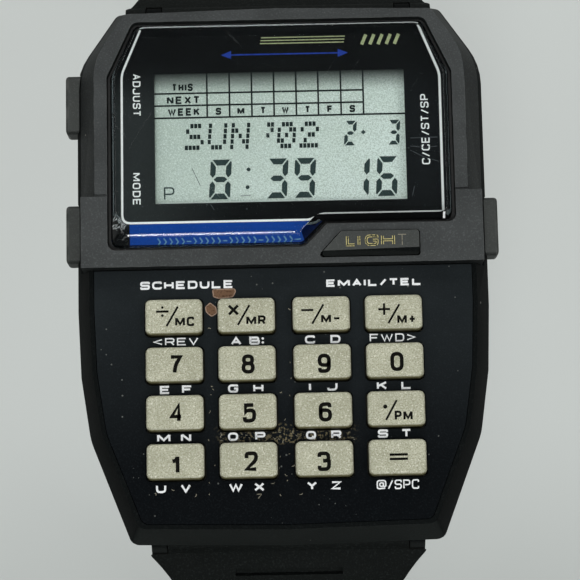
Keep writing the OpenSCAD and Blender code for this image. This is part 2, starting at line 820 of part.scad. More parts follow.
module button_clip(y) {
    color(steel)
    translate([0, y, button_z]) difference() {
        rod(ring_r, ring_x - ring_t, ring_x);
        rod(ring_seat_r, ring_x - over, ring_x + over);
    }
}

module button_spring(y) {
    color(steel)
    translate([spring_room_x, y, button_z]) rotate([0, 90, 0])
        coil(button_spring_r, wire_d, cap_in_x - spring_room_x, 2);
}

// The bay that takes the strap at 12 o'clock
module strap_bay() {
    block([-case_w, bay_y, -over], [case_w, half_l + over, bay_z]);
}

// An ear at 12 o'clock on the right side
module ear() {
    translate([0, hinge_y, hinge_z]) rod(ear_r, ear_x, ear_x + ear_w);
    block([ear_x, bay_y - eps, hinge_z], [ear_x + ear_w, hinge_y + ear_front_l, bay_z + eps]);
}

module both_ends() {
    children();
    mirror([0, 1, 0]) children();
}

module both_sides() {
    children();
    mirror([1, 0, 0]) children();
}

// The case without its rooms
module body_shell() {
    difference() {
        intersection() {
            case_shape();
            union() {
                block([-case_w, -case_l, 0], [case_w, case_l, seam_z]);
                block([-case_w, -case_l, 0], [case_w, bridge_y, rim_z]);
            }
        }
        both_ends() strap_bay();
    }
    both_ends() both_sides() ear();
}

module case_body() {
    color(resin)
    difference() {
        body_shell();
        plate(cell_bay, back_t - over, board_z + eps);
        plate(cavity, board_z, deck_z);
        intersection() {
            plate(case_outline(back_inset - 2 * seat_gap), -over, back_t);
            block([-case_w, -back_end - 2 * seat_gap, -over],
                  [case_w, back_end + 2 * seat_gap, back_t + over]);
        }
        difference() {
            plate(inset(cell_bay, -gasket_inset - gasket_w),
                  back_t - eps, back_t + gasket_w - gasket_crush);
            plate(inset(cell_bay, -gasket_inset), back_t - over, back_t + over);
        }
        at_screws() translate([0, 0, foot_z]) cylinder(r = screw_r + pin_gap, h = screw_l);
        plate(case_outline(panel_inset - seat_gap), deck_top_z, rim_z + over);
        at_keys() plate(rounded(rectangle(key_w + 2 * key_gap, key_l + 2 * key_gap), key_corner_r),
                        deck_z - eps, deck_top_z + eps);
        button_room(mode_y, mode_l);
        mirror([1, 0, 0]) button_room(mode_y, mode_l);
        mirror([1, 0, 0]) button_room(adjust_y, adjust_l);
        both_ends() translate([0, hinge_y, hinge_z]) {
            rod(tip_r + pin_gap, ear_x - eps, ear_x + tip_gap_depth);
            rod(tip_r + pin_gap, -ear_x - tip_gap_depth, eps - ear_x);
        }
        for (place = peg_places)
            translate([place.x, place.y, seam_z - peg_l - peg_gap])
                cylinder(r = peg_r + pin_gap, h = peg_l + over);
    }
}

module top_bezel() {
    color(bezel_grey)
    difference() {
        union() {
            intersection() {
                case_shape();
                block([-case_w, bridge_end_y - bezel_overlap, seam_z], [case_w, case_l, bezel_z + over]);
            }
            block([-bridge_half_w, bridge_y, seam_z], [bridge_half_w, bridge_end_y, bridge_z]);
            for (place = peg_places)
                translate([place.x, place.y, seam_z - peg_l]) cylinder(r = peg_r, h = peg_l + eps);
        }
        crystal_plate(-gasket_gap, mask_z, crystal_top_z + over);
        plate(inset(crystal_main, opening_inset), seam_z - over, crystal_top_z + over);
        block([-case_w, bridge_end_y, bridge_z - groove_d], [case_w, bridge_end_y + groove_w, bridge_z]);
        plate(rounded(inset(light_shape, -cap_gap), light_corner_r), seam_z, crystal_top_z);
        light_flange_plate(2 * cap_gap, seam_z - over, light_room_z);
    }
}

// The LIGHT button's flange, which reaches past the button at both ends
module light_flange_plate(gap, low, high) {
    reach = light_flange_w + gap;
    plate([light_shape[0] - [reach, gap], light_shape[1] + [reach, -gap],
           light_shape[2] + [reach, gap], light_shape[3] + [-reach, gap]], low, high);
}

module keypad_panel() {
    color(panel_black)
    difference() {
        intersection() {
            plate(case_outline(panel_inset), deck_top_z, panel_top_z);
            block([-case_w, -case_l, 0], [case_w, bridge_y - 2 * seat_gap, rim_z]);
        }
        at_keys() plate(rounded(rectangle(key_w + 2 * key_gap, key_l + 2 * key_gap), key_corner_r),
                        deck_top_z - over, rim_z);
    }
}

module crystal() {
    color([0.75, 0.8, 0.8, 0.35]) {
        crystal_part(crystal_main, crystal_bevel_w);
        crystal_part(crystal_lower, drop_bevel_w);
    }
}

module crystal_gasket() {
    color(rubber)
    difference() {
        crystal_plate(-gasket_gap + pin_gap / 2, mask_z, crystal_z + gasket_h);
        crystal_plate(-pin_gap / 2, mask_z - over, crystal_z + over);
    }
}

module display_mask() {
    color(panel_black)
    difference() {
        crystal_plate(seat_gap, mask_z, crystal_z);
        translate([0, display_y - window_low / 2, 0])
            plate(rectangle(window_w, window_h + window_low), mask_z - over, crystal_z + over);
    }
}

module lcd_panel() {
    color([0.72, 0.78, 0.74])
    translate([0, display_y, 0])
        plate(rectangle(2 * lcd_half_w, 2 * lcd_half_l), lcd_z, lcd_top_z);
}

module backlight_panel() {
    color([0.35, 0.62, 0.62])
    translate([0, display_y, 0])
        plate(rectangle(2 * (lcd_half_w - backlight_in), 2 * (lcd_half_l - zebra_w - backlight_gap)),
              lcd_z - seat_gap - backlight_t, lcd_z - seat_gap);
}

module zebra_strips() {
    color([0.85, 0.45, 0.35])
    for (side = [-1, 1])
        translate([0, display_y + side * (lcd_half_l - zebra_w / 2), 0])
            plate(rectangle(2 * (lcd_half_w - zebra_in), zebra_w), board_top_z, lcd_z);
}

module module_frame() {
    color([0.85, 0.85, 0.82])
    translate([0, display_y, 0]) difference() {
        plate(rectangle(2 * frame_half_w, 2 * frame_half_l), board_top_z, frame_top_z);
        plate(rectangle(2 * (lcd_half_w + seat_gap), 2 * (lcd_half_l + seat_gap)),
              board_top_z - over, lcd_top_z + eps);
        plate(rectangle(2 * (lcd_half_w - frame_open), 2 * (lcd_half_l - frame_open / 2)),
              board_top_z, frame_top_z + over);
    }
}

module circuit_board() {
    color([0.10, 0.35, 0.22])
    intersection() {
        plate(inset(cavity, board_inset), board_z, board_top_z);
        block([-board_half_w, -case_l, 0], [board_half_w, case_l, board_top_z + over]);
    }
}

module chip_cover() {
    color(rubber)
    translate([chip_at.x, chip_at.y, board_z - chip_h]) rotate_extrude()
        polygon([[0, 0], [chip_r - chip_slope_w, 0], [chip_r, chip_h / 2], [chip_r, chip_h], [0, chip_h]]);
}

module quartz_can() {
    color(steel)
    translate([quartz_at.x, quartz_at.y + quartz_l, board_z - quartz_r]) rotate([90, 0, 0])
        cylinder(r = quartz_r, h = quartz_l);
}

module battery() {
    color(steel)
    translate([0, cell_y, cell_z]) {
        translate([0, 0, cell_step]) cylinder(r = cell_r, h = cell_t - cell_step);
        cylinder(r = cell_r - cell_cap_in, h = cell_step + eps);
    }
}

// A springy strip under the cell, with a leg up to the board at each side
module battery_clip() {
    color(steel)
    translate([0, cell_y, 0]) {
        block([-clip_half_w, -clip_strip_w / 2, clip_z],
              [clip_half_w, clip_strip_w / 2, clip_z + clip_strip_t]);
        both_sides() block([clip_half_w - eps, -clip_strip_w / 2, clip_z],
                           [clip_half_w + clip_strip_t, clip_strip_w / 2, board_z]);
    }
}

module keypad_mat() {
    color([0.2, 0.2, 0.2]) {
        intersection() {
            plate(inset(cavity, board_inset + mat_edge), board_top_z, mat_top_z);
            block([-board_half_w + mat_edge, -case_l, 0], [board_half_w - mat_edge, mat_end_y, deck_z]);
        }
        at_keys() translate([0, 0, mat_top_z - eps])
            cylinder(r1 = dome_r, r2 = dome_top_r, h = key_z - mat_top_z - dome_gap);
        translate([light_stem_x, light_stem_y, mat_top_z - eps])
            cylinder(r = light_stem_r, h = light_stem_z - mat_top_z - dome_gap);
    }
}

module buzzer_disc() {
    color([0.80, 0.66, 0.35])
    translate([buzzer_at.x, buzzer_at.y, back_t]) cylinder(r = buzzer_r, h = buzzer_t);
}

module buzzer_spring() {
    color(steel)
    translate([buzzer_at.x, buzzer_at.y, back_t + buzzer_t])
        coil(buzzer_spring_r, wire_d, board_z - back_t - buzzer_t, 4);
}

module case_back() {
    color(steel)
    difference() {
        intersection() {
            plate(case_outline(back_inset), 0, back_t);
            block([-case_w, -back_end, -over], [case_w, back_end, back_t + over]);
        }
        at_screws() {
            translate([0, 0, -over])
                cylinder(r = screw_head_r + seat_gap, h = over + screw_head_h + screw_sink);
            cylinder(r = screw_r + seat_gap, h = back_t + over);
        }
    }
}

module back_gasket() {
    color(rubber)
    difference() {
        plate(inset(cell_bay, -gasket_inset - gasket_w + seat_gap),
              back_t, back_t + gasket_w - gasket_crush - seat_gap);
        plate(inset(cell_bay, -gasket_inset - seat_gap), back_t - over, back_t + over);
    }
}

module back_screw(i) {
    slot_w = 0.3;
    color(steel)
    translate([(i % 2 == 0 ? -1 : 1) * screw_x, (i < 2 ? -1 : 1) * screw_y, screw_sink])
    difference() {
        union() {
            cylinder(r = screw_head_r, h = screw_head_h);
            cylinder(r = screw_r, h = screw_l);
        }
        block([-screw_head_r, -slot_w / 2, -over], [screw_head_r, slot_w / 2, screw_head_h / 2]);
    }
}

module button_seal(y) {
    translate([0, y, button_z]) difference() {
        rod(seal_r - pin_gap, seal_x - seal_t + seat_gap, seal_x - seat_gap);
        rod(stem_r + pin_gap, seal_x - over, seal_x + over);
    }
}

module button_seals() {
    color(rubber) {
        button_seal(mode_y);
        mirror([1, 0, 0]) button_seal(mode_y);
        mirror([1, 0, 0]) button_seal(adjust_y);
    }
}

module light_button() {
    color(button_grey) {
        plate(rounded(light_shape, light_corner_r), light_flange_top_z - light_flange_t, light_top_z);
        light_flange_plate(0, light_flange_top_z - light_flange_t, light_flange_top_z);
        translate([light_stem_x, light_stem_y, light_stem_z])
            cylinder(r = light_stem_r, h = light_flange_top_z - light_stem_z);
    }
}

module light_spring() {
    color(steel)
    translate([light_stem_x, light_stem_y, mat_top_z])
        coil(light_spring_r, light_wire_d, light_flange_top_z - light_flange_t - mat_top_z, 2.5);
}

module keypad_key(i) {
    color(key_beige)
    at_key(i) {
        plate(rounded(rectangle(key_w, key_l), key_corner_r), key_z, key_top_z);
        plate(rectangle(key_w + 2 * flange_w, key_l + 2 * flange_w), key_z, key_z + flange_t);
    }
}

// Front view of the strap, which flares at the case and narrows from its shoulders
module strap_front(shoulder, flare, taper_l) {
    taper_z = hinge_z + shoulder_top;
    taper = [for (i = [0 : shoulder_steps])
        [strap_half + (shoulder - strap_half) * pow(1 - i / shoulder_steps, shoulder_power),
         taper_z - taper_l * i / shoulder_steps]];
    half = concat([[shoulder + flare, hinge_z + 2 * heel_up], [shoulder + flare, taper_z + flare]],
                  taper, [[strap_half, floor_z - over]]);
    translate([0, bend_end.x + 2 * strap_t, 0]) rotate([90, 0, 0])
        linear_extrude(2 * bend_end.x) polygon(concat(half, left_side(half)));
}

// Puts its children on the strap's centre line, with Y along it and Z out of it
module on_strap(s) {
    translate([0, strap_at(s).x, strap_at(s).y]) rotate([-strap_angle(s), 0, 0]) children();
}

// A strap's root and band up to its end, laid as at 12 o'clock
module strap_band(end, shoulder, flare, taper_l) {
    notch_x = ear_x - ear_gap;
    notch_out = ear_x + ear_w + ear_gap;
    difference() {
        intersection() {
            union() {
                side_view(strap_side(end), shoulder + flare);
                translate([0, hinge_y, hinge_z]) {
                    rod(barrel_r, -shoulder - flare, shoulder + flare);
                    block([-shoulder - flare, -heel_in, 0], [shoulder + flare, 0, heel_up]);
                }
            }
            strap_front(shoulder, flare, taper_l);
        }
        translate([0, hinge_y, hinge_z]) {
            rod(bar_r + pin_gap, -ear_x, ear_x);
            both_sides() {
                rod(notch_r, notch_x, notch_out);
                block([notch_x, -2 * heel_in, -notch_r], [notch_out, 0, 2 * heel_up]);
            }
        }
        for (s = rib_places)
            on_strap(s) block([-rib_half_w, -rib_w / 2, strap_t_at(s) / 2 - rib_d],
                              [rib_half_w, rib_w / 2, strap_t]);
    }
}

module buckle_strap() {
    color(resin)
    difference() {
        union() {
            strap_band(turn_end_s, shoulder_half + upper_shoulder_out, upper_flare, upper_shoulder_l);
            translate([0, buckle_y, buckle_z]) rod(buckle_barrel_r, -strap_half, strap_half);
        }
        translate([0, buckle_y, buckle_z]) {
            rod(buckle_bar_r + pin_gap, -case_w, case_w);
            block([-slot_half, -2 * slot_half, -2 * slot_half], [slot_half, slot_l, 2 * slot_half]);
        }
    }
}

module hole_strap() {
    color(resin)
    mirror([0, 1, 0]) difference() {
        strap_band(hole_strap_l, shoulder_half, lower_flare, lower_shoulder_l);
        for (i = [0 : hole_count - 1])
            on_strap(hole_strap_l - first_hole_in - hole_pitch * i)
                translate([0, 0, -strap_t]) cylinder(r = hole_r, h = 2 * strap_t);
        difference() {
            block([-case_w, -strap_tip_y - over, floor_z - over],
                  [case_w, strap_half - strap_tip_y, floor_z + 2 * strap_t]);
            translate([0, strap_half - strap_tip_y, floor_z - 2 * over])
                cylinder(r = strap_half, h = 4 * strap_t);
        }
    }
}

module spring_bar() {
    color(steel)
    translate([0, hinge_y, hinge_z]) {
        rod(bar_r, -spring_bar_half, spring_bar_half);
        rod(tip_r, -spring_bar_half - tip_l, spring_bar_half + tip_l);
    }
}

module upper_spring_bar() {
    spring_bar();
}

module lower_spring_bar() {
    mirror([0, 1, 0]) spring_bar();
}

module buckle_bar() {
    color(steel)
    translate([0, buckle_y, buckle_z]) {
        rod(buckle_bar_r, -buckle_bar_half, buckle_bar_half);
        rod(buckle_tip_r, -buckle_bar_half - arm_tip_l, buckle_bar_half + arm_tip_l);
    }
}

module buckle_frame() {
    color(steel)
    translate([0, buckle_y, buckle_z]) difference() {
        union() {
            both_sides() {
                block([arm_x, -buckle_l, -buckle_t / 2], [arm_x + arm_w, 0, buckle_t / 2]);
                rod(eye_boss_r, arm_x, arm_x + arm_w);
            }
            block([-arm_x - eps, -buckle_l, -buckle_t / 2], [arm_x + eps, arm_w - buckle_l, buckle_t / 2]);
        }
        both_sides() rod(buckle_tip_r + pin_gap, arm_x - over, buckle_bar_half + arm_tip_l + end_gap);
    }
}

module buckle_tongue() {
    color(steel)
    translate([0, buckle_y, buckle_z]) difference() {
        union() {
            rod(tongue_eye_r, -tongue_eye_half, tongue_eye_half);
            block([-tongue_half, tongue_short - buckle_l, -buckle_t / 2 - pin_gap - tongue_t],
                  [tongue_half, -tongue_root, -buckle_t / 2 - pin_gap]);
        }
        rod(buckle_bar_r + pin_gap, -over - tongue_eye_half, tongue_eye_half + over);
    }
}

module strap_keeper() {
    inner_y = leg_end.x - strap_t / 2 - keeper_gap;
    inner_x = strap_half + keeper_gap;
    color(resin)
    difference() {
        block([-inner_x - keeper_wall, inner_y - keeper_wall, keeper_z],
              [inner_x + keeper_wall, inner_y + keeper_room + keeper_wall, keeper_z + keeper_w]);
        block([-inner_x, inner_y, keeper_z - over],
              [inner_x, inner_y + keeper_room, keeper_z + keeper_w + over]);
    }
}

case_body();
top_bezel();
keypad_panel();
crystal();
crystal_gasket();
display_mask();
lcd_panel();
backlight_panel();
zebra_strips();
module_frame();
circuit_board();
chip_cover();
quartz_can();
battery();
battery_clip();
keypad_mat();
buzzer_disc();
buzzer_spring();
case_back();
back_gasket();
for (i = [0 : len(SCREWS) - 1])
    back_screw(i);
button_seals();
mirror([1, 0, 0]) side_button(adjust_y, adjust_l);  // adjust_button
mirror([1, 0, 0]) button_clip(adjust_y);  // adjust_clip
mirror([1, 0, 0]) button_spring(adjust_y);  // adjust_spring
mirror([1, 0, 0]) side_button(mode_y, mode_l);  // mode_button
mirror([1, 0, 0]) button_clip(mode_y);  // mode_clip
mirror([1, 0, 0]) button_spring(mode_y);  // mode_spring
side_button(mode_y, mode_l);  // start_button
button_clip(mode_y);  // start_clip
button_spring(mode_y);  // start_spring
light_button();
light_spring();
for (i = [0 : len(KEYS) - 1])
    keypad_key(i);
buckle_strap();
hole_strap();
upper_spring_bar();
lower_spring_bar();
buckle_frame();
buckle_tongue();
buckle_bar();
strap_keeper();
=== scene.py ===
import math
import random
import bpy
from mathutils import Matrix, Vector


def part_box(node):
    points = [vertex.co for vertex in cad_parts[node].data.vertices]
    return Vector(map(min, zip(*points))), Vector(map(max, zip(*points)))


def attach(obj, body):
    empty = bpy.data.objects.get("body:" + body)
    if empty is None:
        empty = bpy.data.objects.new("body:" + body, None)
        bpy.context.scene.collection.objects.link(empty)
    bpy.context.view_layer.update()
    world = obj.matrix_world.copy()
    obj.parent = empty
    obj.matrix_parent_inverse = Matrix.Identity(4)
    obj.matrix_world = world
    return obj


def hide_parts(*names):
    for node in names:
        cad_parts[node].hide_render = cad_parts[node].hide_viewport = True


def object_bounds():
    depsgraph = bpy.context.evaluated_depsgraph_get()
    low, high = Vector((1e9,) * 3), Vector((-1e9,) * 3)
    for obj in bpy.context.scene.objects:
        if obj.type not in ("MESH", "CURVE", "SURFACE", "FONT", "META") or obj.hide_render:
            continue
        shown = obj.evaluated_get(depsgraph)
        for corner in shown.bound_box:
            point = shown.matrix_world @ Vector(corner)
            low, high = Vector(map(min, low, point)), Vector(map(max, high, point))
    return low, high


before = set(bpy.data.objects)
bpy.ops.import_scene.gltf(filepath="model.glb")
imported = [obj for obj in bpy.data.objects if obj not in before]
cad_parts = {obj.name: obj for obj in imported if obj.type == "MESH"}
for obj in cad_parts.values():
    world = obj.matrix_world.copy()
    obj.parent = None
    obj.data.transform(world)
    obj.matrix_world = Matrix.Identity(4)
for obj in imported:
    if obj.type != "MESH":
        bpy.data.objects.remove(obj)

from types import SimpleNamespace as Look
import bmesh
import bpy
from mathutils import Matrix, Vector

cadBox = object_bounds()
scene = bpy.context.scene
mm = 0.001
white = (1.0, 1.0, 1.0, 1.0)


def tone(red, green, blue):  # a screen colour of 0 to 255 as scene light
    def light(value):
        value /= 255
        return value / 12.92 if value <= 0.04045 else ((value + 0.055) / 1.055) ** 2.4
    return (light(red), light(green), light(blue), 1.0)


# small helpers for node trees
def feed(node, sockets):  # links sockets to a node's inputs, or sets plain values there
    for name, value in sockets.items():
        if isinstance(value, bpy.types.NodeSocket):
            node.id_data.links.new(value, node.inputs[name])
        else:
            node.inputs[name].default_value = value
    return node


def addNode(tree, kind, sockets=None, **settings):
    node = tree.nodes.new("ShaderNode" + kind)
    for name, value in settings.items():
        setattr(node, name, value)
    return feed(node, sockets or {})


def treeOf(values):  # the node tree of the sockets among the values
    return next(value.id_data for value in values if isinstance(value, bpy.types.NodeSocket))


def calc(operation, *values):
    return addNode(treeOf(values), "Math", dict(enumerate(values)), operation=operation).outputs[0]


def times(product, *others):
    for other in others:
        product = calc("MULTIPLY", product, other)
    return product


def scaled(value, by, plus):
    return calc("MULTIPLY_ADD", value, by, plus)


def blend(factor, a, b, mode="MIX"):  # three numbers are a screen colour
    a, b = [tone(*value) if isinstance(value, tuple) and len(value) == 3 else value for value in (a, b)]
    return addNode(factor.id_data, "Mix", {0: factor, 6: a, 7: b}, data_type="RGBA", blend_type=mode).outputs[2]


def window(value, low, high):  # 0 at low and 1 at high, with low above high too
    sockets = {"Value": value, "From Min": low, "From Max": high}
    return addNode(value.id_data, "MapRange", sockets, interpolation_type="SMOOTHSTEP").outputs["Result"]


def noise(place, scale, detail=3.0, roughness=0.5):
    sockets = {"Vector": place, "Scale": scale, "Detail": detail, "Roughness": roughness}
    return addNode(place.id_data, "TexNoise", sockets).outputs["Fac"]


def stretch(place, by):
    return addNode(place.id_data, "VectorMath", {0: place, 1: by}, operation="MULTIPLY").outputs[0]


def axes(vector):
    return addNode(vector.id_data, "SeparateXYZ", {0: vector}).outputs


def facing(tree):  # the way that each face looks
    return axes(addNode(tree, "TexCoord").outputs["Normal"])


def makeGroup(name, inputs, outputs):
    tree = bpy.data.node_groups.new(name, "ShaderNodeTree")
    for label, value in {"Place": (0, 0, 0), **inputs}.items():
        kind = "NodeSocketVector" if isinstance(value, tuple) else "NodeSocketFloat"
        tree.interface.new_socket(name=label, in_out="INPUT", socket_type=kind).default_value = value
    for label in outputs:
        tree.interface.new_socket(name=label, in_out="OUTPUT", socket_type="NodeSocketFloat")
    return tree.nodes.new("NodeGroupInput").outputs, tree.nodes.new("NodeGroupOutput")


def use(group, place, **sockets):  # a group with one output gives that output itself
    made = addNode(place.id_data, "Group", {"Place": place, **sockets}, node_tree=group).outputs
    return made if len(made) > 1 else made[0]


def makeGrain():  # the pitted skin that a spark-eroded mould leaves
    given, out = makeGroup("mouldGrain", {"Pits": 6000.0}, ["Height", "Fleck"])
    coarse = noise(given["Place"], given["Pits"], 2.0, 0.6)
    cells = addNode(out.id_data, "TexVoronoi", {"Vector": given["Place"], "Scale": times(given["Pits"], 0.8)})
    return feed(out, {"Height": scaled(cells.outputs["Distance"], 0.5, coarse),
                      "Fleck": window(coarse, 0.5, 0.74)}).id_data


def makeDust():  # sparse pale specks
    given, out = makeGroup("looseDust", {"Scale": 1500.0, "Amount": 0.05}, ["Mask"])
    specks = addNode(out.id_data, "TexVoronoi", {"Vector": given["Place"], "Scale": given["Scale"]}).outputs
    chance = addNode(out.id_data, "SeparateColor", {"Color": specks["Color"]}).outputs
    kept = calc("GREATER_THAN", chance[0], calc("SUBTRACT", 1.0, given["Amount"]))
    near = calc("LESS_THAN", specks["Distance"], scaled(chance[1], 0.14, 0.05))
    return feed(out, {"Mask": times(kept, near, scaled(chance[2], 0.7, 0.3))}).id_data


def makeRubAndHighlight():  # rounded edges that handling has polished, lighter too as a painted highlight
    given, out = makeGroup("edgeRubAndHighlight", {"Amount": 0.5}, ["Mask"])
    edge = addNode(out.id_data, "Attribute", attribute_name="rub").outputs["Fac"]
    return feed(out, {"Mask": times(edge, window(noise(given["Place"], 700.0), 0.36, 0.66), given["Amount"])}).id_data


def makePaintedTopLight():  # painted light: faces that look up are made lighter, broken up a little, faces toward the front are marked, the sides stay dark
    given, out = makeGroup("paintedTopLight", {"Low": 0.9, "High": 0.99}, ["Mask", "Front"])
    ways = facing(out.id_data)
    broken = scaled(window(noise(given["Place"], 240.0, 4.0), 0.3, 0.7), 0.3, 0.7)
    return feed(out, {"Mask": times(window(ways["Z"], given["Low"], given["High"]), broken),
                      "Front": window(ways["Y"], -0.4, -0.8)}).id_data


def makeScratches():  # fine straight scratches, all about one way
    given, out = makeGroup("hairScratches", {"Turn": (0, 0, 0), "Amount": 0.5}, ["Mask"])
    turned = addNode(out.id_data, "VectorRotate", {"Vector": given["Place"], "Rotation": given["Turn"]},
                     rotation_type="EULER_XYZ").outputs[0]
    thin = window(noise(stretch(turned, (1.0, 0.022, 1.0)), 3200.0, 1.0), 0.70, 0.76)
    some = window(noise(given["Place"], 260.0, 1.0), 0.50, 0.62)
    return feed(out, {"Mask": times(thin, some, given["Amount"])}).id_data


def makeMottle():  # slow changes of tone over a surface
    given, out = makeGroup("slowMottle", {"Scale": 120.0}, ["Value"])
    return feed(out, {"Value": window(noise(given["Place"], given["Scale"], 4.0, 0.55), 0.3, 0.7)}).id_data


mouldGrain, looseDust, edgeRubAndHighlight = makeGrain(), makeDust(), makeRubAndHighlight()
hairScratches, slowMottle, paintedTopLight = makeScratches(), makeMottle(), makePaintedTopLight()
print("shader groups ready")


# materials
def startMaterial(name):
    material = bpy.data.materials.new(name)
    material.use_nodes = True
    tree = material.node_tree
    return material, tree.nodes["Principled BSDF"], addNode(tree, "TexCoord").outputs["Object"]


def paint(surface, colour, rough, specular=0.5, metal=0.0):
    feed(surface, {"Base Color": colour, "Roughness": rough, "Specular IOR Level": specular, "Metallic": metal})


def addBump(surface, height, distance, strength=1.0):
    bump = addNode(surface.id_data, "Bump", {"Height": height, "Distance": distance, "Strength": strength})
    feed(surface, {"Normal": bump.outputs["Normal"]})


def mixShaders(surface, factor, other):
    mixed = addNode(surface.id_data, "MixShader", {0: factor, 1: surface.outputs[0], 2: other.outputs[0]})
    feed(surface.id_data.nodes["Material Output"], {"Surface": mixed.outputs[0]})


def mouldedPlastic(name, look):
    material, surface, place = startMaterial(name)
    grain = use(mouldGrain, place, Pits=look.pits)
    mottle = use(slowMottle, place, Scale=look.mottleScale)
    dust = use(looseDust, place, Scale=look.dustScale, Amount=look.dust)
    rub = use(edgeRubAndHighlight, place, Amount=look.rub)
    top = use(paintedTopLight, place, Low=look.topRange[0], High=look.topRange[1])
    colour = blend(mottle, look.dark, look.light)
    # painted light: faces toward the front are made lighter
    if hasattr(look, "frontTone"):
        colour = blend(times(top["Front"], look.front), colour, look.frontTone)
    # painted light: faces that look up are made lighter
    colour = blend(top["Mask"], colour, look.topTone)
    colour = blend(times(grain["Fleck"], look.fleck), colour, look.fleckTone, "ADD")
    # rubbed edges, worn and with a painted highlight
    colour = blend(rub, colour, look.rubTone)
    rough = scaled(mottle, look.roughChange, look.rough)
    paint(surface, blend(dust, colour, look.dustTone), scaled(rub, -look.rubShine, rough), look.specular)
    addBump(surface, grain["Height"], look.depth)
    return material


plasticColumns = ("dark", "light", "topTone", "fleckTone", "rubTone", "dustTone", "topRange", "pits", "depth",
                  "fleck", "rub", "rubShine", "dust", "dustScale", "mottleScale", "rough", "roughChange",
                  "specular", "front", "frontTone")
plastics = {
    "caseResin": ((7, 9, 9), (12, 14, 14), (12, 15, 15), (26, 28, 28), (48, 51, 50), (120, 120, 116), (0.75, 0.98),
                  6500.0, 0.000014, 0.5, 0.5, 0.12, 0.012, 1500.0, 110.0, 0.62, 0.08, 0.03, 0.9, (31, 34, 33)),
    "bezelGrey": ((17, 20, 20), (23, 26, 26), (63, 66, 66), (50, 52, 52), (84, 87, 86), (160, 158, 150), (0.9, 0.99),
                  6500.0, 0.000018, 0.9, 0.75, 0.1, 0.012, 1500.0, 110.0, 0.6, 0.06, 0.15),
    "buttonGrey": ((36, 39, 38), (45, 48, 46), (62, 65, 63), (46, 48, 46), (84, 86, 83), (150, 150, 140), (0.7, 0.98),
                   7000.0, 0.000016, 0.8, 0.7, 0.14, 0.008, 1700.0, 160.0, 0.54, 0.08, 0.2),
    "strapResin": ((9, 12, 11), (15, 18, 17), (21, 24, 23), (30, 33, 32), (40, 43, 42), (110, 110, 106), (0.6, 0.95),
                   5200.0, 0.000016, 0.7, 0.5, 0.14, 0.016, 1300.0, 70.0, 0.58, 0.1, 0.06),
}
caseResin, bezelGrey, buttonGrey, strapResin = [
    mouldedPlastic(name, Look(**dict(zip(plasticColumns, row)))) for name, row in plastics.items()]


def makePanelBlack():  # printed film with dust, and grime in the gaps of the lower rows
    look = Look(low=(3, 6, 9), dark=(26, 31, 33), light=(34, 39, 41), grade=(-0.022, 0.0), fleckTone=(28, 32, 34),
                dustTone=(112, 116, 112), grime=(112, 104, 80), grimeLow=(-0.0168, -0.0164),
                grimeHigh=(-0.0146, -0.0151), grimeSide=(0.0068, 0.0048))
    material, surface, place = startMaterial("panelBlack")
    grain = use(mouldGrain, place, Pits=7000.0)
    mottle = use(slowMottle, place, Scale=90.0)
    x, y = axes(place)[:2]
    colour = blend(window(y, *look.grade), look.low, blend(mottle, look.dark, look.light))
    colour = blend(times(grain["Fleck"], 0.4), colour, look.fleckTone, "ADD")
    zone = times(window(y, *look.grimeLow), window(y, *look.grimeHigh),
                 window(calc("ABSOLUTE", x), *look.grimeSide))
    colour = blend(times(window(noise(place, 4600.0), 0.53, 0.64), zone, 0.85), colour, look.grime)
    dust = use(looseDust, place, Scale=2100.0, Amount=0.09)
    paint(surface, blend(dust, colour, look.dustTone), scaled(mottle, 0.08, 0.6), 0.05)
    addBump(surface, grain["Height"], 0.00001)
    return material


def makeKeyBeige():  # speckled warm grey, with painted shade, dark and olive, towards the foot of each cap and on faces that look to the front
    look = Look(dark=(165, 166, 143), light=(183, 184, 161), pale=(222, 222, 206), deep=(140, 139, 116),
                foot=(48, 44, 20), footZ=(0.0101, 0.0095), front=(84, 80, 48))
    material, surface, place = startMaterial("keyBeige")
    grain = use(mouldGrain, place, Pits=6200.0)
    colour = blend(use(slowMottle, place, Scale=420.0), look.dark, look.light)
    colour = blend(times(grain["Fleck"], 0.95), colour, look.pale)
    colour = blend(times(window(noise(place, 9000.0, 2.0), 0.5, 0.62), 0.8), colour, look.deep)
    # painted shade on faces that look to the front
    front = window(facing(surface.id_data)["Y"], -0.15, -0.75)
    colour = blend(times(front, 0.92), colour, look.front)
    # painted shade, dark and olive, low on each cap
    paint(surface, blend(window(axes(place)["Z"], *look.footZ), colour, look.foot),
          scaled(grain["Fleck"], 0.1, 0.5), 0.35)
    addBump(surface, grain["Height"], 0.000012)
    return material


def makeCrystal(name, tint, clean):  # scratched acrylic that lets the lamps through to the display
    material, surface, place = startMaterial(name)
    lines = 0.0
    for turn, amount in ((0.55, 0.6), (-0.7, 0.7), (1.9, 0.5)):
        lines = calc("MAXIMUM", use(hairScratches, place, Turn=(0, 0, turn), Amount=amount), lines)
    rub = use(edgeRubAndHighlight, place, Amount=0.3)
    rough = scaled(lines, 0.3, scaled(rub, 0.12, 0.01))
    feed(surface, {"Base Color": blend(lines, tint, clean), "Roughness": rough, "IOR": 1.49,
                   "Transmission Weight": 1.0})
    addBump(surface, lines, 0.000003, 0.5)
    rays = addNode(surface.id_data, "LightPath").outputs
    passing = calc("MAXIMUM", rays["Is Shadow Ray"], rays["Is Diffuse Ray"])
    mixShaders(surface, passing, addNode(surface.id_data, "BsdfTransparent", {"Color": (0.93, 0.95, 0.94, 1)}))
    return material


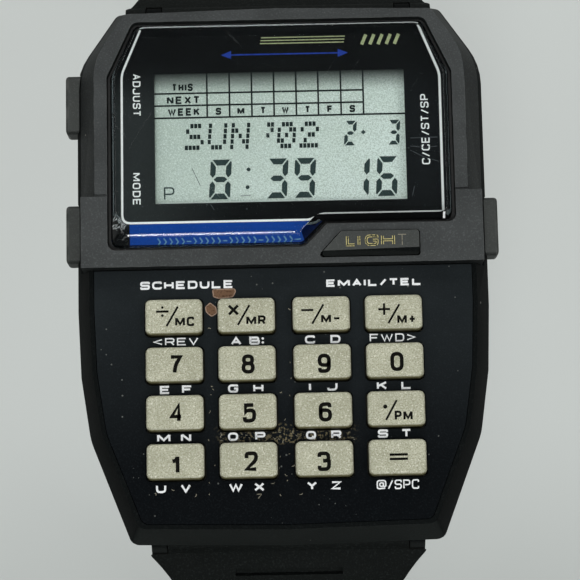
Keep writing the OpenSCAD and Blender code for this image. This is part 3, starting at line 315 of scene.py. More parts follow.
def makeMaskBlack():  # black print behind the crystal, hazy at the lower left from scratches and a painted reflection, a little lighter on the right as painted reflection, with the dust that sits there
    look = Look(dark=(2, 4, 6), light=(7, 10, 12), haze=(46, 51, 52), dust=(66, 72, 74), rightHaze=(24, 28, 31),
                left=(-0.003, -0.0152), bottom=(0.003, 0.0042), top=(0.0195, 0.0135), right=(0.0095, 0.0125))
    material, surface, place = startMaterial("maskBlack")
    fine = noise(place, 7000.0, 2.0)
    x, y = axes(place)[:2]
    below = window(y, *look.top)
    # hazy scratches and a painted reflection at the lower left
    haze = times(window(x, *look.left), below, scaled(fine, 0.7, 0.5), window(y, *look.bottom))
    colour = blend(use(slowMottle, place, Scale=160.0), look.dark, look.light)
    colour = blend(haze, colour, look.haze)
    # painted reflection, fainter, on the right
    colour = blend(times(window(x, *look.right), below, fine), colour, look.rightHaze)
    dust = use(looseDust, place, Scale=2200.0, Amount=0.05)
    paint(surface, blend(dust, colour, look.dust), 0.7, 0.05)
    return material


def makeDisplayGrey():  # the display's grey-green backing, a little lighter low on the right, with a painted shadow of the mask along its top edge
    look = Look(dark=(187, 201, 194), light=(228, 241, 237), lean=0.9, slope=(-0.026, 0.006), cloud=(196, 211, 198),
                fleck=(240, 250, 246), dot=(164, 180, 171), shade=(34, 42, 42), shadeY=(0.0160, 0.0184))
    material, surface, place = startMaterial("displayGrey")
    x, y = axes(place)[:2]
    slope = window(calc("SUBTRACT", times(x, look.lean), y), *look.slope)
    colour = blend(slope, look.dark, look.light)
    colour = blend(times(use(slowMottle, place, Scale=260.0), 0.35), colour, look.cloud)
    colour = blend(times(use(mouldGrain, place, Pits=6000.0)["Fleck"], 0.8), colour, look.fleck)
    colour = blend(times(window(noise(place, 7600.0, 2.0), 0.46, 0.6), 0.6), colour, look.dot)
    # painted shadow of the mask along the top edge
    paint(surface, blend(window(y, *look.shadeY), colour, look.shade), 0.5, 0.3)
    return material


def printedInk(name, colour, wornTone, worn=0.2, rough=0.45, size=5200.0):  # screen print with small misses
    material, surface, place = startMaterial(name)
    grain = noise(place, size)
    paint(surface, blend(times(window(grain, 0.52, 0.66), worn), colour, wornTone), scaled(grain, 0.1, rough), 0.08)
    return material


def brushedMetal(name, colour, dark, rough, drawn=(1.0, 14.0, 14.0)):
    material, surface, place = startMaterial(name)
    lines = noise(stretch(place, drawn), 900.0)
    aged = blend(times(use(slowMottle, place, Scale=200.0), 0.3), blend(lines, dark, colour), dark)
    # edges worn bright, partly a painted highlight
    paint(surface, blend(use(edgeRubAndHighlight, place, Amount=0.5), aged, white), scaled(lines, 0.2, rough), metal=1.0)
    addBump(surface, lines, 0.000003)
    return material


def plainMoulding(name, colour, shade, rough, pits):  # inner parts
    material, surface, place = startMaterial(name)
    grain = use(mouldGrain, place, Pits=pits)
    paint(surface, blend(use(slowMottle, place, Scale=220.0), shade, colour), scaled(grain["Fleck"], 0.15, rough))
    addBump(surface, grain["Height"], 0.00001)
    return material


panelBlack, keyBeige = makePanelBlack(), makeKeyBeige()
crystalClear = makeCrystal("crystalClear", (0.97, 0.985, 0.98, 1), white)
crystalSmoked = makeCrystal("crystalSmoked", (24, 30, 32), (90, 96, 98))
maskBlack, displayGrey = makeMaskBlack(), makeDisplayGrey()
inkLooks = {  # colour, worn colour, how worn, roughness, size of the misses
    "whiteInk": ((246, 249, 249), (178, 184, 186), 0.3),
    "frameInk": ((252, 254, 254), (222, 227, 227)),
    "blueInk": ((2, 62, 150), (2, 50, 124), 0.4),
    "paleBlueInk": ((112, 158, 176), (40, 84, 140), 0.6),
    "goldInk": ((176, 184, 142), (120, 124, 84), 0.4),
    "deepBlueInk": ((34, 62, 156), (20, 34, 92), 0.5),
    "keyInk": ((8, 7, 4), (24, 22, 16), 0.25, 0.6),
    "segmentInk": ((44, 60, 60), (62, 78, 77), 0.4),
    "dotInk": ((26, 38, 38), (40, 52, 52), 0.3),
    "ruleInk": ((20, 29, 30), (42, 52, 52), 0.3),
    "bareFilm": ((112, 86, 66), (78, 54, 38), 0.9, 0.6),
    "filmEdge": ((158, 134, 116), (104, 84, 70), 0.7, 0.6),
    "wornInk": ((186, 176, 122), (50, 52, 46), 1.0, 0.5, 4200.0),
    "scoreInk": ((74, 80, 83), (34, 39, 42), 0.9, 0.5, 3200.0),
    "jointGrime": ((12, 13, 12), (22, 22, 19), 0.8, 0.8),
    "scratchHaze": ((186, 192, 192), (116, 124, 126), 0.8, 0.6),
    "rimShadowPaint": ((4, 5, 6), (15, 17, 18), 0.6, 0.7),
    "fibrePale": ((136, 132, 116), (80, 76, 64), 0.7, 0.7),
    "edgeLight": ((222, 232, 229), (196, 210, 204), 0.6),
}
inks = {name: printedInk(name, *look) for name, look in inkLooks.items()}
steelBrushed = brushedMetal("steelBrushed", (206, 206, 202), (150, 150, 148), 0.24)
springSteel = brushedMetal("springSteel", (196, 196, 194), (140, 140, 140), 0.2, (6.0, 6.0, 6.0))
brassPlate = brushedMetal("brassPlate", (214, 178, 96), (160, 124, 60), 0.3)
print("materials ready")


# mesh helpers
def addObject(name, data):
    made = bpy.data.objects.new(name, data)
    scene.collection.objects.link(made)
    return made


def putMaterial(piece, material):
    if piece.data.materials:
        piece.data.materials.clear()
    piece.data.materials.append(material)


def finishPiece(bm, name, material, body, smoothAngle=35, normals=True):
    mesh = bpy.data.meshes.new(name)
    if normals:
        bmesh.ops.recalc_face_normals(bm, faces=bm.faces)
    bm.to_mesh(mesh)
    bm.free()
    for spare in ("custom_normal", "UVMap"):
        if spare in mesh.attributes:
            mesh.attributes.remove(mesh.attributes[spare])
    piece = addObject(name, mesh)
    putMaterial(piece, material)
    mesh.shade_smooth()
    mesh.set_sharp_from_angle(angle=math.radians(smoothAngle))
    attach(piece, body)
    return piece


def standIn(bm, node, name, material, body, smoothAngle=35):  # finishes a piece that takes a node's place
    piece = finishPiece(bm, name, material, body, smoothAngle, False)
    piece.modifiers.new("evenShading", "WEIGHTED_NORMAL").keep_sharp = True
    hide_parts(node)
    return piece


def nodeMesh(node):  # a merged copy of a node's mesh, with its flat faces whole again
    bm = bmesh.new()
    bm.from_mesh(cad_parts[node].data)
    bmesh.ops.remove_doubles(bm, verts=bm.verts, dist=0.0000005)
    bmesh.ops.dissolve_limit(bm, angle_limit=math.radians(0.6), verts=bm.verts, edges=bm.edges)
    return bm


def bevelEdges(bm, chosen, width, segments):  # rounds edges and marks the new faces for edge wear with a painted highlight
    rub = bm.faces.layers.float.get("rub") or bm.faces.layers.float.new("rub")
    made = bmesh.ops.bevel(bm, geom=chosen, offset=width, offset_type="OFFSET", segments=segments,
                           profile=0.5, affect="EDGES", clamp_overlap=True, material=-1)
    for face in made["faces"]:
        face[rub] = 1.0
    return made["faces"]


def sharpEdges(bm, angle=28, keep=lambda edge: True):
    return [edge for edge in bm.edges if len(edge.link_faces) == 2
            and edge.calc_face_angle(0) > math.radians(angle) and keep(edge)]


def softened(node, name, material, body, width, segments=2, keep=lambda edge: True):
    bm = nodeMesh(node)
    bevelEdges(bm, sharpEdges(bm, 28, keep), width * mm, segments)
    return standIn(bm, node, name, material, body)


def middle(edge):
    return (edge.verts[0].co + edge.verts[1].co) / 2


def above(height):
    return lambda edge: middle(edge).z > height


# case, bezel and panel
caseLook = Look(round=0.14, bezelRound=0.12, panelRound=0.05, backRound=0.08)
softened("case_body", "caseShell", caseResin, "case", caseLook.round, 2, above(0.0002))
softened("top_bezel", "bezelTop", bezelGrey, "case", caseLook.bezelRound, 2, above(0.0076))
softened("keypad_panel", "keypadFilm", panelBlack, "case", caseLook.panelRound, 1, above(0.0092))
print("case ready")

# letters as strokes on a grid of 8 by 8: ~ marks a rounded corner, | parts the strokes, one place is a dot
letterPaths = {
    "A": "0,0 4,8 8,0|1.5,2.6 6.5,2.6", "B": "0,0 0,8 ~7.4,8 ~7.4,4.1 0,4.1|7,4.1 ~8,4.1 ~8,0 0,0",
    "C": "8,6 ~8,8 ~0,8 ~0,0 ~8,0 8,2", "D": "0,0 0,8 ~8,8 ~8,0 0,0", "E": "8,8 0,8 0,0 8,0|0,4.1 7,4.1",
    "F": "0,0 0,8 8,8|0,4.1 7,4.1", "G": "8,6.4 ~8,8 ~0,8 ~0,0 ~8,0 8,4 5,4", "H": "0,0 0,8|8,0 8,8|0,4 8,4",
    "I": "4,0 4,8", "J": "8,8 ~8,0 ~0,0 0,2.4", "K": "0,0 0,8|8,8 0.6,3.6|3,5 8,0", "L": "0,8 0,0 8,0",
    "M": "0,0 0,8|8,0 8,8|0.2,7.7 4,1.2 7.8,7.7", "N": "0,0 0,8|8,0 8,8|0.2,7.8 7.8,0.2",
    "O": "~0,0 ~0,8 ~8,8 ~8,0 ~0,0", "P": "0,0 0,8 ~8,8 ~8,3.6 0,3.6",
    "Q": "~0,0 ~0,8 ~8,8 ~8,0 ~0,0|5,2.4 8,-0.6", "R": "0,0 0,8 ~8,8 ~8,3.6 0,3.6|5,3.6 8,0",
    "S": "8,6 ~8,8 ~0,8 ~0,4.1 ~8,4.1 ~8,0 ~0,0 0,2", "T": "0,8 8,8|4,8 4,0", "U": "0,8 ~0,0 ~8,0 8,8",
    "V": "0,8 4,0 8,8", "W": "0,8 2.2,0 4,7 5.8,0 8,8", "X": "0,0 8,8|0,8 8,0", "Y": "0,8 4,4 8,8|4,4 4,0",
    "Z": "0,8 8,8 0,0 8,0", "<": "8,7 0,4 8,1", ">": "0,7 8,4 0,1", "/": "0,0 8,8", ":": "4,1.4|4,6.6",
    "@": "7.4,0.6 ~0,0 ~0,8 ~8,8 ~8,2.2 ~5.8,2.2 5.8,6|~2.4,2.4 ~2.4,5.8 ~5.8,5.8 ~5.8,2.4 ~2.4,2.4",
    "-": "0,4 8,4", "+": "0,4 8,4|4,0.6 4,7.4",
    "0": "~0,0 ~0,8 ~8,8 ~8,0 ~0,0", "1": "8,0 8,8|0,5.7 ~5.5,6 7.6,7.7",
    "2": "0,5.6 ~0,8 ~8,8 ~8,4.6 0,0 8,0", "3": "0,6.2 ~0,8 ~7.6,8 ~7.6,4.3 3,4.3|7,4.3 ~8,4.3 ~8,0 ~0,0 0,1.8",
    "4": "6,0 6,8 0,2.2 8,2.2", "5": "7.4,8 1,8 0.4,4.2 ~1.4,5.2 ~8,5.4 ~8,0 ~0,0 0,1.9",
    "6": "7.8,6.3 ~7.6,8 ~0,8 ~0,0 ~8,0 ~8,4.9 ~0.6,4.9 0,3", "7": "0,8 8,8 ~4,4 3,0",
    "8": "~0.5,4.3 ~0.5,8 ~7.5,8 ~7.5,4.3 ~0.5,4.3|~0,0 ~0,4.3 ~8,4.3 ~8,0 ~0,0",
    "9": "0.2,1.7 ~0.4,0 ~8,0 ~8,8 ~0,8 ~0,3.1 ~7.4,3.1 8,5",
}
letterShares = {"I": 0.22, "M": 1.3, "W": 1.35, ":": 0.2, "/": 0.75, "@": 1.35}


def smoothPath(spots, closed=False):  # each spot is x, y and the radius of its corner
    line = []
    for index, (x, y, radius) in enumerate(spots):
        spot = Vector((x, y))
        before, after = Vector(spots[index - 1][:2]), Vector(spots[(index + 1) % len(spots)][:2])
        if radius == 0 or (not closed and index in (0, len(spots) - 1)):
            line.append(spot)
            continue
        cut = min(radius, (before - spot).length / 2, (after - spot).length / 2)
        start, end = spot + (before - spot).normalized() * cut, spot + (after - spot).normalized() * cut
        line += [start.lerp(spot, t).lerp(spot.lerp(end, t), t) for t in (0, 0.25, 0.5, 0.75, 1)]
    kept = [spot for index, spot in enumerate(line) if index == 0 or (spot - line[index - 1]).length > 0.002]
    return kept[:-1] if closed and (kept[-1] - kept[0]).length < 0.002 else kept


def addStroke(bm, line, width, z, closed=False):  # a flat ribbon along a path in mm
    line = [Vector(spot) for spot in (line + line[:1] if closed else line)]
    spans = len(line) - 1
    made = bmesh.ops.create_grid(bm, x_segments=spans, y_segments=1, size=0.5)["verts"]
    for vert in made:
        index = round((vert.co.x + 0.5) * spans)
        ahead = line[min(index + 1, spans)] - line[min(index, spans - 1)]
        back = line[max(index, 1)] - line[max(index - 1, 0)]
        if closed and index in (0, spans):
            ahead, back = line[1] - line[0], line[spans] - line[spans - 1]
        sides = [Vector((-way.y, way.x)).normalized() for way in (ahead, back)]
        across = (sides[0] + sides[1]).normalized()
        reach = math.copysign(width / 2, vert.co.y) / max(0.6, across.dot(sides[0]))
        vert.co = Vector((*(line[index] + across * reach), z)) * mm
    if closed:
        bmesh.ops.remove_doubles(bm, verts=made, dist=0.0000005)


def addBar(bm, start, end, width, z):
    addStroke(bm, [start, end], width, z)


def addDisc(bm, centre, radius, z, sides=14, stretch=(1, 1)):
    made = bmesh.ops.create_circle(bm, cap_ends=True, segments=sides, radius=radius * mm)["verts"]
    place = Matrix.Translation(Vector((*centre, z)) * mm)
    bmesh.ops.transform(bm, verts=made, matrix=place @ Matrix.Diagonal((*stretch, 1, 1)))


def addShape(bm, corners, z):  # one flat face from a few corners in mm
    bm.faces.new([bm.verts.new(Vector((x, y, z)) * mm) for x, y in corners])


def addWord(bm, text, box, z, weight, turn=0, gap=0.3, soft=0.3):  # fills a box of mm with a word
    wide, tall = box[2] - box[0], box[3] - box[1]
    wide, tall = (tall, wide) if turn else (wide, tall)
    centre = Vector(((box[0] + box[2]) / 2, (box[1] + box[3]) / 2))
    shares = [letterShares.get(char, 1) for char in text]
    unit = wide / (sum(shares) + gap * (len(text) - 1))
    left, layer = -wide / 2, 0
    for char, share in zip(text, shares):
        inner, high = max(unit * share - weight, 0), tall - weight
        for stroke in letterPaths[char].split("|"):
            spots = []
            for spot in stroke.split():
                x, y = [float(part) for part in spot.strip("~").split(",")]
                at = Vector((left + unit * share / 2 + (x / 8 - 0.5) * inner, (y / 8 - 0.5) * high))
                at.rotate(Matrix.Rotation(math.radians(turn), 2))
                spots.append((*(centre + at), soft * unit if spot[0] == "~" else 0))
            layer += 1
            height = z + layer * 0.0006
            if len(spots) == 1:
                addDisc(bm, spots[0][:2], weight * 0.62, height, 10)
            elif spots[0][:2] == spots[-1][:2]:
                addStroke(bm, smoothPath(spots[:-1], True), weight, height, True)
            else:
                addStroke(bm, smoothPath(spots), weight, height)
        left += unit * (share + gap)


def finishPrint(bm, name, ink, thickness=0.012, body="case"):  # gives flat ink its small thickness
    bm.normal_update()
    bmesh.ops.reverse_faces(bm, faces=[face for face in bm.faces if face.normal.z > 0])
    grown = bmesh.ops.extrude_face_region(bm, geom=list(bm.faces), use_keep_orig=True)["geom"]
    lifted = [item for item in grown if isinstance(item, bmesh.types.BMVert)]
    bmesh.ops.translate(bm, verts=lifted, vec=(0, 0, thickness * mm))
    return finishPiece(bm, name, inks[ink], body, 30)


# lettering, worn spots and crumbs on the panel
panelPrint = Look(line=0.19, thin=0.125, tall=0.76, wide=0.93, inset=0.03, shift=0.05, rim=0.09,
                  rows=(-7.18, -11.52, -15.89, -20.46))
panelZ = 9.246
rowPairs = [[("A", -4.93, -3.96), ("B", -3.24, -2.29), (":", -2.12, -1.91), ("CD", 1.81, 5.11)],
            [("EF", -11.43, -8.45), ("GH", -5.26, -1.99), ("IJ", 2.08, 4.73), ("KL", 8.25, 11.44)],
            [("MN", -11.73, -8.6), ("OP", -5.33, -1.89), ("QR", 1.72, 4.98), ("ST", 8.22, 11.31)],
            [("UV", -11.88, -8.68), ("WX", -5.31, -2.06), ("YZ", 1.71, 4.87)]]
panelWords = [("SCHEDULE", (-13.07, -2.29, -4.55, -1.54), panelPrint.line, 0.22),
              ("EMAIL/TEL", (3.94, -2.37, 12.64, -1.68), panelPrint.line, 0.24),
              ("<REV", (-11.93, -7.48, -7.83, -6.78), panelPrint.thin, 0.25),
              ("FWD>", (7.78, -7.52, 11.95, -6.78), panelPrint.thin, 0.25),
              ("@/SPC", (8.05, -20.92, 11.88, -20.06), panelPrint.thin, 0.18)]
bm = bmesh.new()
for text, box, line, gap in panelWords:
    addWord(bm, text, box, panelZ, line, 0, gap)
for y, row in zip(panelPrint.rows, rowPairs):
    for letters, first, last in row:
        for char, side in zip(letters, (0, 1)):
            wide = panelPrint.wide * letterShares.get(char, 1) if len(letters) > 1 else last - first
            left = last - wide - panelPrint.inset if side else first + panelPrint.inset / 2
            left += panelPrint.shift
            half = panelPrint.tall / 2
            addWord(bm, char, (left, y - half, left + wide, y + half), panelZ, panelPrint.line)
finishPrint(bm, "panelLettering", "whiteInk")

wornSpots = [[(-6.45, -2.4), (-4.45, -2.36), (-4.36, -2.62), (-4.62, -3.1), (-5.9, -3.22), (-6.38, -3.05)],
             [(-6.7, -3.62), (-6.18, -4.05), (-6.12, -4.6), (-6.6, -4.86), (-7.06, -4.45), (-7.12, -4.0)]]
rims, chips = bmesh.new(), bmesh.new()
for spot in wornSpots:
    addShape(chips, spot, panelZ + 0.001)
    addStroke(rims, smoothPath([(x, y, 0.12) for x, y in spot], True), panelPrint.rim, panelZ + 0.004, True)
finishPrint(chips, "wornSpots", "bareFilm", 0.008)
finishPrint(rims, "wornRims", "filmEdge", 0.009)

crumbs = Look(seed=7, zones=[(-6.6, 6.4, -16.35, -15.4, 24), (-0.7, 0.7, -21.5, -4.0, 12),
                             (-12.5, 12.3, -21.4, -20.1, 10), (-7.2, -6.2, -20, -5, 8)])
pick = random.Random(crumbs.seed).uniform
bm = bmesh.new()
for left, right, low, high, count in crumbs.zones:
    for step in range(count):
        x, y, way = pick(left, right), pick(low, high), pick(0, math.tau)
        bend = Vector((math.cos(way), math.sin(way))) * pick(0.05, 0.2)
        start = Vector((x, y))
        addStroke(bm, [start, start + bend, start + bend * 1.4 + Vector((-bend.y, bend.x)) * 0.5],
                  pick(0.03, 0.07), panelZ + 0.002 + step * 0.0002)
addStroke(bm, smoothPath([(-2.75, -21.12, 0), (-2.3, -21.1, 0.1), (-2.62, -21.5, 0)]), 0.06, panelZ)
finishPrint(bm, "panelCrumbs", "fibrePale", 0.01)
print("panel print ready")

# crystal, its mask and what is printed there
crystalLook = Look(ridge=0.05, wornRidge=0.62, wornSteps=8, wornFrom=2.5, wornTo=4.3, rim=0.22, liftBottom=0.03,
                   blackBand=(3.6, 4.06), blockTop=2.6, blockLeft=-15.12, under=8.96, rimTop=21.0)
bm = nodeMesh("crystal")
for vert in bm.verts:
    if vert.co.z < crystalLook.under * mm:
        vert.co.z += crystalLook.liftBottom * mm
topOfCrystal = max(vert.co.z for vert in bm.verts)


def topEdges(keep):
    return sharpEdges(bm, 15, lambda edge: min(v.co.z for v in edge.verts) > topOfCrystal - 0.00001 and keep(edge))


bevelEdges(bm, topEdges(lambda edge: min(v.co.y for v in edge.verts) < crystalLook.wornFrom * mm
                        and max(v.co.y for v in edge.verts) < crystalLook.wornTo * mm),
           crystalLook.wornRidge * mm, crystalLook.wornSteps)
bevelEdges(bm, topEdges(lambda edge: edge.calc_face_angle(0) > math.radians(30)), crystalLook.ridge * mm, 2)
for face in bm.faces:  # the bevel is smoked, a band of it low at the front and its outer rim are painted black as painted shadow, but the deeper block is clear
    centre = face.calc_center_median() / mm
    inBlock = centre.y < crystalLook.blockTop and centre.x > crystalLook.blockLeft
    onTop = face.normal.z > 0.97 or centre.z > topOfCrystal / mm - 0.03
    if face.normal.z > -0.5 and not onTop and not inBlock:
        low, high = crystalLook.blackBand
        face.material_index = 2 if low < centre.y < high and face.normal.y < -0.5 else 1
# the outer rim between the block and the top gets the black paint, a painted shadow of the gap; elsewhere it is
# smoked
for face in bevelEdges(bm, sharpEdges(bm, 35, lambda edge: 0.0099 < middle(edge).z < topOfCrystal - 0.0003),
                       crystalLook.rim * mm, 3):
    centre = face.calc_center_median() / mm
    face.material_index = 2 if crystalLook.blockTop < centre.y < crystalLook.rimTop else 1
crystalPiece = standIn(bm, "crystal", "crystalGlass", crystalClear, "case", 30)
for other in (crystalSmoked, inks["rimShadowPaint"]):
    crystalPiece.data.materials.append(other)

maskPrint = Look(line=0.2, side=0.23, label=0.12)
maskZ = 8.948
frameLine = [(-12.82, 22.1, 0), (-14.58, 17.9, 0.5), (-14.62, 3.84, 0.75), (2.65, 3.84, 0.4), (3.55, 4.38, 0.5),
             (14.83, 4.38, 0)]
bm = bmesh.new()
addStroke(bm, smoothPath(frameLine), maskPrint.line, maskZ)
addStroke(bm, smoothPath([(14.83, 4.28, 0), (14.87, 17.45, 0.5), (13.02, 22.1, 0)]), maskPrint.side, maskZ + 0.001)
finishPrint(bm, "frameLine", "frameInk")
crystalTop = 11.2
endLine = Look(x=14.8, low=3.56, high=4.05, drop=0.66)
bm = bmesh.new()  # the end of the line runs down over the bevel
addBar(bm, (endLine.x, endLine.low), (endLine.x, endLine.high), maskPrint.line, crystalTop)
lowEnd = [vert for vert in bm.verts if vert.co.y < (endLine.low + endLine.high) / 2 * mm]
bmesh.ops.translate(bm, verts=lowEnd, vec=(0, 0, -endLine.drop * mm))
finishPrint(bm, "frameLineEnd", "frameInk", 0.01)
bm = bmesh.new()  # along the top the line lies on the bevel, in grey, and stands also as a painted highlight on the bevel's ridge
topLineAndHighlight = Look(ends=(-12.75, 12.95), low=21.83, high=21.99, turn=0.35, ridge=21.8, fall=1.4, line=0.15)
left, right = topLineAndHighlight.ends
addStroke(bm, smoothPath([(left, topLineAndHighlight.low, 0), (left + topLineAndHighlight.turn, topLineAndHighlight.high, 0.3),
                          (right - topLineAndHighlight.turn, topLineAndHighlight.high, 0.3), (right, topLineAndHighlight.low, 0)]),
          topLineAndHighlight.line, crystalTop)
for vert in bm.verts:
    vert.co.z -= max(0, vert.co.y - topLineAndHighlight.ridge * mm) * topLineAndHighlight.fall
finishPrint(bm, "frameLineTopAndHighlight", "scratchHaze")

bm = bmesh.new()
addShape(bm, [(-13.95, 1.55), (1.95, 1.55), (3.9, 3.5), (3.7, 4.25), (2.7, 3.72), (-13.95, 3.72)], maskZ)
finishPrint(bm, "blueBand", "blueInk", 0.008)
bm = bmesh.new()
bandMarks = Look(count=24, start=-11.4, pitch=0.55, high=2.5, half=0.36, wide=0.24, line=0.1, z=8.958)
for step in range(bandMarks.count):  # a row of chevrons and dashes along the band
    x, y = bandMarks.start + step * bandMarks.pitch, bandMarks.high
    path = [(x, y - bandMarks.half), (x + bandMarks.wide, y), (x, y + bandMarks.half)]
    if step % 6 == 5:
        path = [(x - 0.1, y), (x + 0.32, y)]
    addStroke(bm, path, bandMarks.line, bandMarks.z)
finishPrint(bm, "bandMarks", "paleBlueInk", 0.006)

stripes = Look(rows=((21.14, -1.6, 6.2), (20.86, -1.65, 6.15), (20.58, -1.7, 6.1)), line=0.1,
               slashes=(7.75, 8.51, 9.27, 10.03, 10.79), slashY=(20.3, 21.25), lean=0.4, slashLine=0.3)
bm = bmesh.new()
for y, left, right in stripes.rows:
    addBar(bm, (left, y), (right, y), stripes.line, maskZ)
for x in stripes.slashes:
    low, high = stripes.slashY
    addBar(bm, (x, low), (x + stripes.lean, high), stripes.slashLine, maskZ)
finishPrint(bm, "goldStripes", "goldInk")
arrows = Look(y=19.55, ends=(-4.5, 5.6), tips=((-5.35, 1), (6.45, -1)), long=0.95, half=0.38, line=0.13)
bm = bmesh.new()
y, half = arrows.y, arrows.half
addBar(bm, (arrows.ends[0], y), (arrows.ends[1], y), arrows.line, maskZ)
for x, way in arrows.tips:
    back = x + arrows.long * way
    addShape(bm, [(x, y), (back, y + half), (back, y - half)], maskZ + 0.001)
finishPrint(bm, "blueArrows", "deepBlueInk")
bm = bmesh.new()
for text, box, turn, gap in (("ADJUST", (-13.56, 13.9, -12.84, 17.91), -90, 0.26),
                             ("MODE", (-13.64, 5.52, -12.92, 8.54), -90, 0.3),
                             ("C/CE/ST/SP", (13.02, 8.8, 13.78, 15.45), 90, 0.26)):
    addWord(bm, text, box, maskZ, maskPrint.label, turn, gap)
finishPrint(bm, "sideLabels", "whiteInk")
putMaterial(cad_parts["display_mask"], maskBlack)

crystalWear = Look(z=11.197, line=0.05, haze=(-15.4, -14.3, 2.9, 3.9), hairs=40)
scores = [[(-8.11, 8.57), (-7.36, 6.91)], [(-3.74, 5.87), (-2.73, 5.95)], [(-6.48, 5.22), (-6.12, 4.63)],
          [(11.94, 5.54), (12.16, 6.47)], [(11.9, 10.96), (14.38, 11.0)],
          [(11.88, 10.21), (13.16, 10.04), (14.35, 10.16)],
          [(11.87, 9.83), (12.59, 9.44), (13.13, 9.15), (14.4, 8.75)]]
bm = bmesh.new()
for score in scores:
    addStroke(bm, score, crystalWear.line, crystalWear.z)
finishPrint(bm, "crystalScores", "scoreInk", 0.006)
bm = bmesh.new()
left, right, low, high = crystalWear.haze
for step in range(crystalWear.hairs):
    start, way = Vector((pick(left, right), pick(low, high))), pick(0.4, 1.2)
    end = start + Vector((math.cos(way), math.sin(way))) * pick(0.06, 0.4)
    addBar(bm, start, end, 0.03, crystalWear.z + step * 0.00005)
finishPrint(bm, "crystalHaze", "scratchHaze", 0.006)
print("crystal and mask ready")

# display: rules, words, date dots and seven-segment digits
display = Look(thick=0.015, ink=0.175, slant=0.065, rule=0.155, ruleY=(16.21, 15.05, 13.88),
               ruleX=(-6.73, -4.64, -2.57, -0.51, 1.56, 3.61, 5.72, 7.8), left=-11.9, right=11.9, top=18.2)
displayZ = 8.02
putMaterial(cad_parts["lcd_panel"], displayGrey)
bm = bmesh.new()
for y, end in zip(display.ruleY, (display.ruleX[-1], display.ruleX[-1], display.right)):
    addBar(bm, (display.left, y), (end, y), display.rule, displayZ)
for x in display.ruleX:
    addBar(bm, (x, display.ruleY[2]), (x, display.top), display.rule, displayZ + 0.001)
for text, box in (("THIS", (-9.99, 16.42, -8.04, 17.14)), ("NEXT", (-10.47, 15.2, -7.40, 15.94)),
                  ("WEEK", (-10.39, 14.08, -7.42, 14.8))):
    addWord(bm, text, box, displayZ, display.ink)
for char, x in zip("SMTWTFS", (-5.68, -3.6, -1.54, 0.53, 2.6, 4.68, 6.76)):
    half = 0.33 if char in "MW" else 0.26
    addWord(bm, char, (x - half, 14.1, x + half, 14.78), displayZ, display.ink)
finishPrint(bm, "weekTable", "ruleInk", display.thick)

dotRows = {"S": [".###.", "#....", ".###.", "....#", "####."], "U": ["#...#", "#...#", "#...#", "#...#", ".###."],
           "N": ["#...#", "##..#", "#.#.#", "#..##", "#...#"], "'": ["##", ".#", "#.", "..", ".."],
           "0": [".###.", "#..##", "#.#.#", "##..#", ".###."], "2": [".###.", "#...#", "..##.", ".#...", "#####"]}
dots = Look(text=(("S", -8.52), ("U", -6.44), ("N", -4.32), ("'", -1.04), ("0", -0.02), ("2", 2.1)), top=13.08,
            rowStep=0.515, columnStep=0.355, half=0.145, tall=0.42, slant=0.09)
bm = bmesh.new()
for char, x in dots.text:
    for row, line in enumerate(dotRows[char]):
        down = dots.rowStep * row
        for column, mark in enumerate(line):
            if mark == "#":
                y, at = dots.top - down, x + dots.columnStep * column - down * dots.slant
                addBar(bm, (at - dots.half, y), (at + dots.half, y), dots.tall, displayZ)
finishPrint(bm, "dateDots", "dotInk", display.thick)

segmentsOf = {"8": "abcdefg", "3": "abcdg", "9": "abcdfg", "1": "bc", "6": "acdefg", "2": "abdeg"}
flips = {"a": (1, 1), "d": (1, -1), "g": (1, 1), "f": (1, 1), "b": (-1, 1), "e": (1, -1), "c": (-1, -1)}


def addDigit(bm, char, centre, size, thick, z):  # seven mitred segments, leaning a little
    half, tall, t = size[0] / 2, size[1] / 2, thick
    level = [(0.3 * t - half, tall), (half - 0.3 * t, tall), (half - 1.05 * t, tall - t), (1.05 * t - half, tall - t)]
    upright = [(-half, tall - 0.48 * t), (0.18 * t - half, tall - 0.25 * t), (0.92 * t - half, tall - 1.24 * t),
               (0.92 * t - half, 0.92 * t), (0.48 * t - half, 0.3 * t), (-half, 0.85 * t)]
    across = [(0.62 * t - half, 0), (1.15 * t - half, 0.47 * t), (half - 1.15 * t, 0.47 * t),
              (half - 0.62 * t, 0), (half - 1.15 * t, -0.47 * t), (1.15 * t - half, -0.47 * t)]
    for name in segmentsOf[char]:
        shape = level if name in "ad" else across if name == "g" else upright
        flip = flips[name]
        addShape(bm, [(centre[0] + x * flip[0] + y * flip[1] * display.slant, centre[1] + y * flip[1])
                      for x, y in shape], z)


digitRows = [  # digits with their places, then height, size and thickness
    ((("8", -5.6), ("3", -0.35), ("9", 2.2), ("1", 7.2), ("6", 9.82)), 7.97, (1.95, 3.74), 0.55),
    ((("2", 6.52), ("3", 10.55)), 12.11, (1.1, 2.34), 0.36)]
bm = bmesh.new()
for digits, y, size, thick in digitRows:
    for char, x in digits:
        addDigit(bm, char, (x, y), size, thick, displayZ)
for centre, radius, sides, shape in (((-2.98, 8.86), 0.19, 8, (1, 1)), ((-3.1, 7.19), 0.19, 8, (1, 1)),
                                     ((7.72, 12.18), 0.24, 4, (1, 0.9))):
    addDisc(bm, centre, radius, displayZ, sides, shape)
addWord(bm, "P", (-10.83, 6.12, -9.86, 7.34), displayZ, 0.13)
finishPrint(bm, "timeDigits", "segmentInk", display.thick)
bm = bmesh.new()
addBar(bm, (-11.6, 5.84), (11.6, 5.84), 0.14, displayZ)
finishPrint(bm, "displayEdge", "edgeLight", display.thick)
print("display ready")

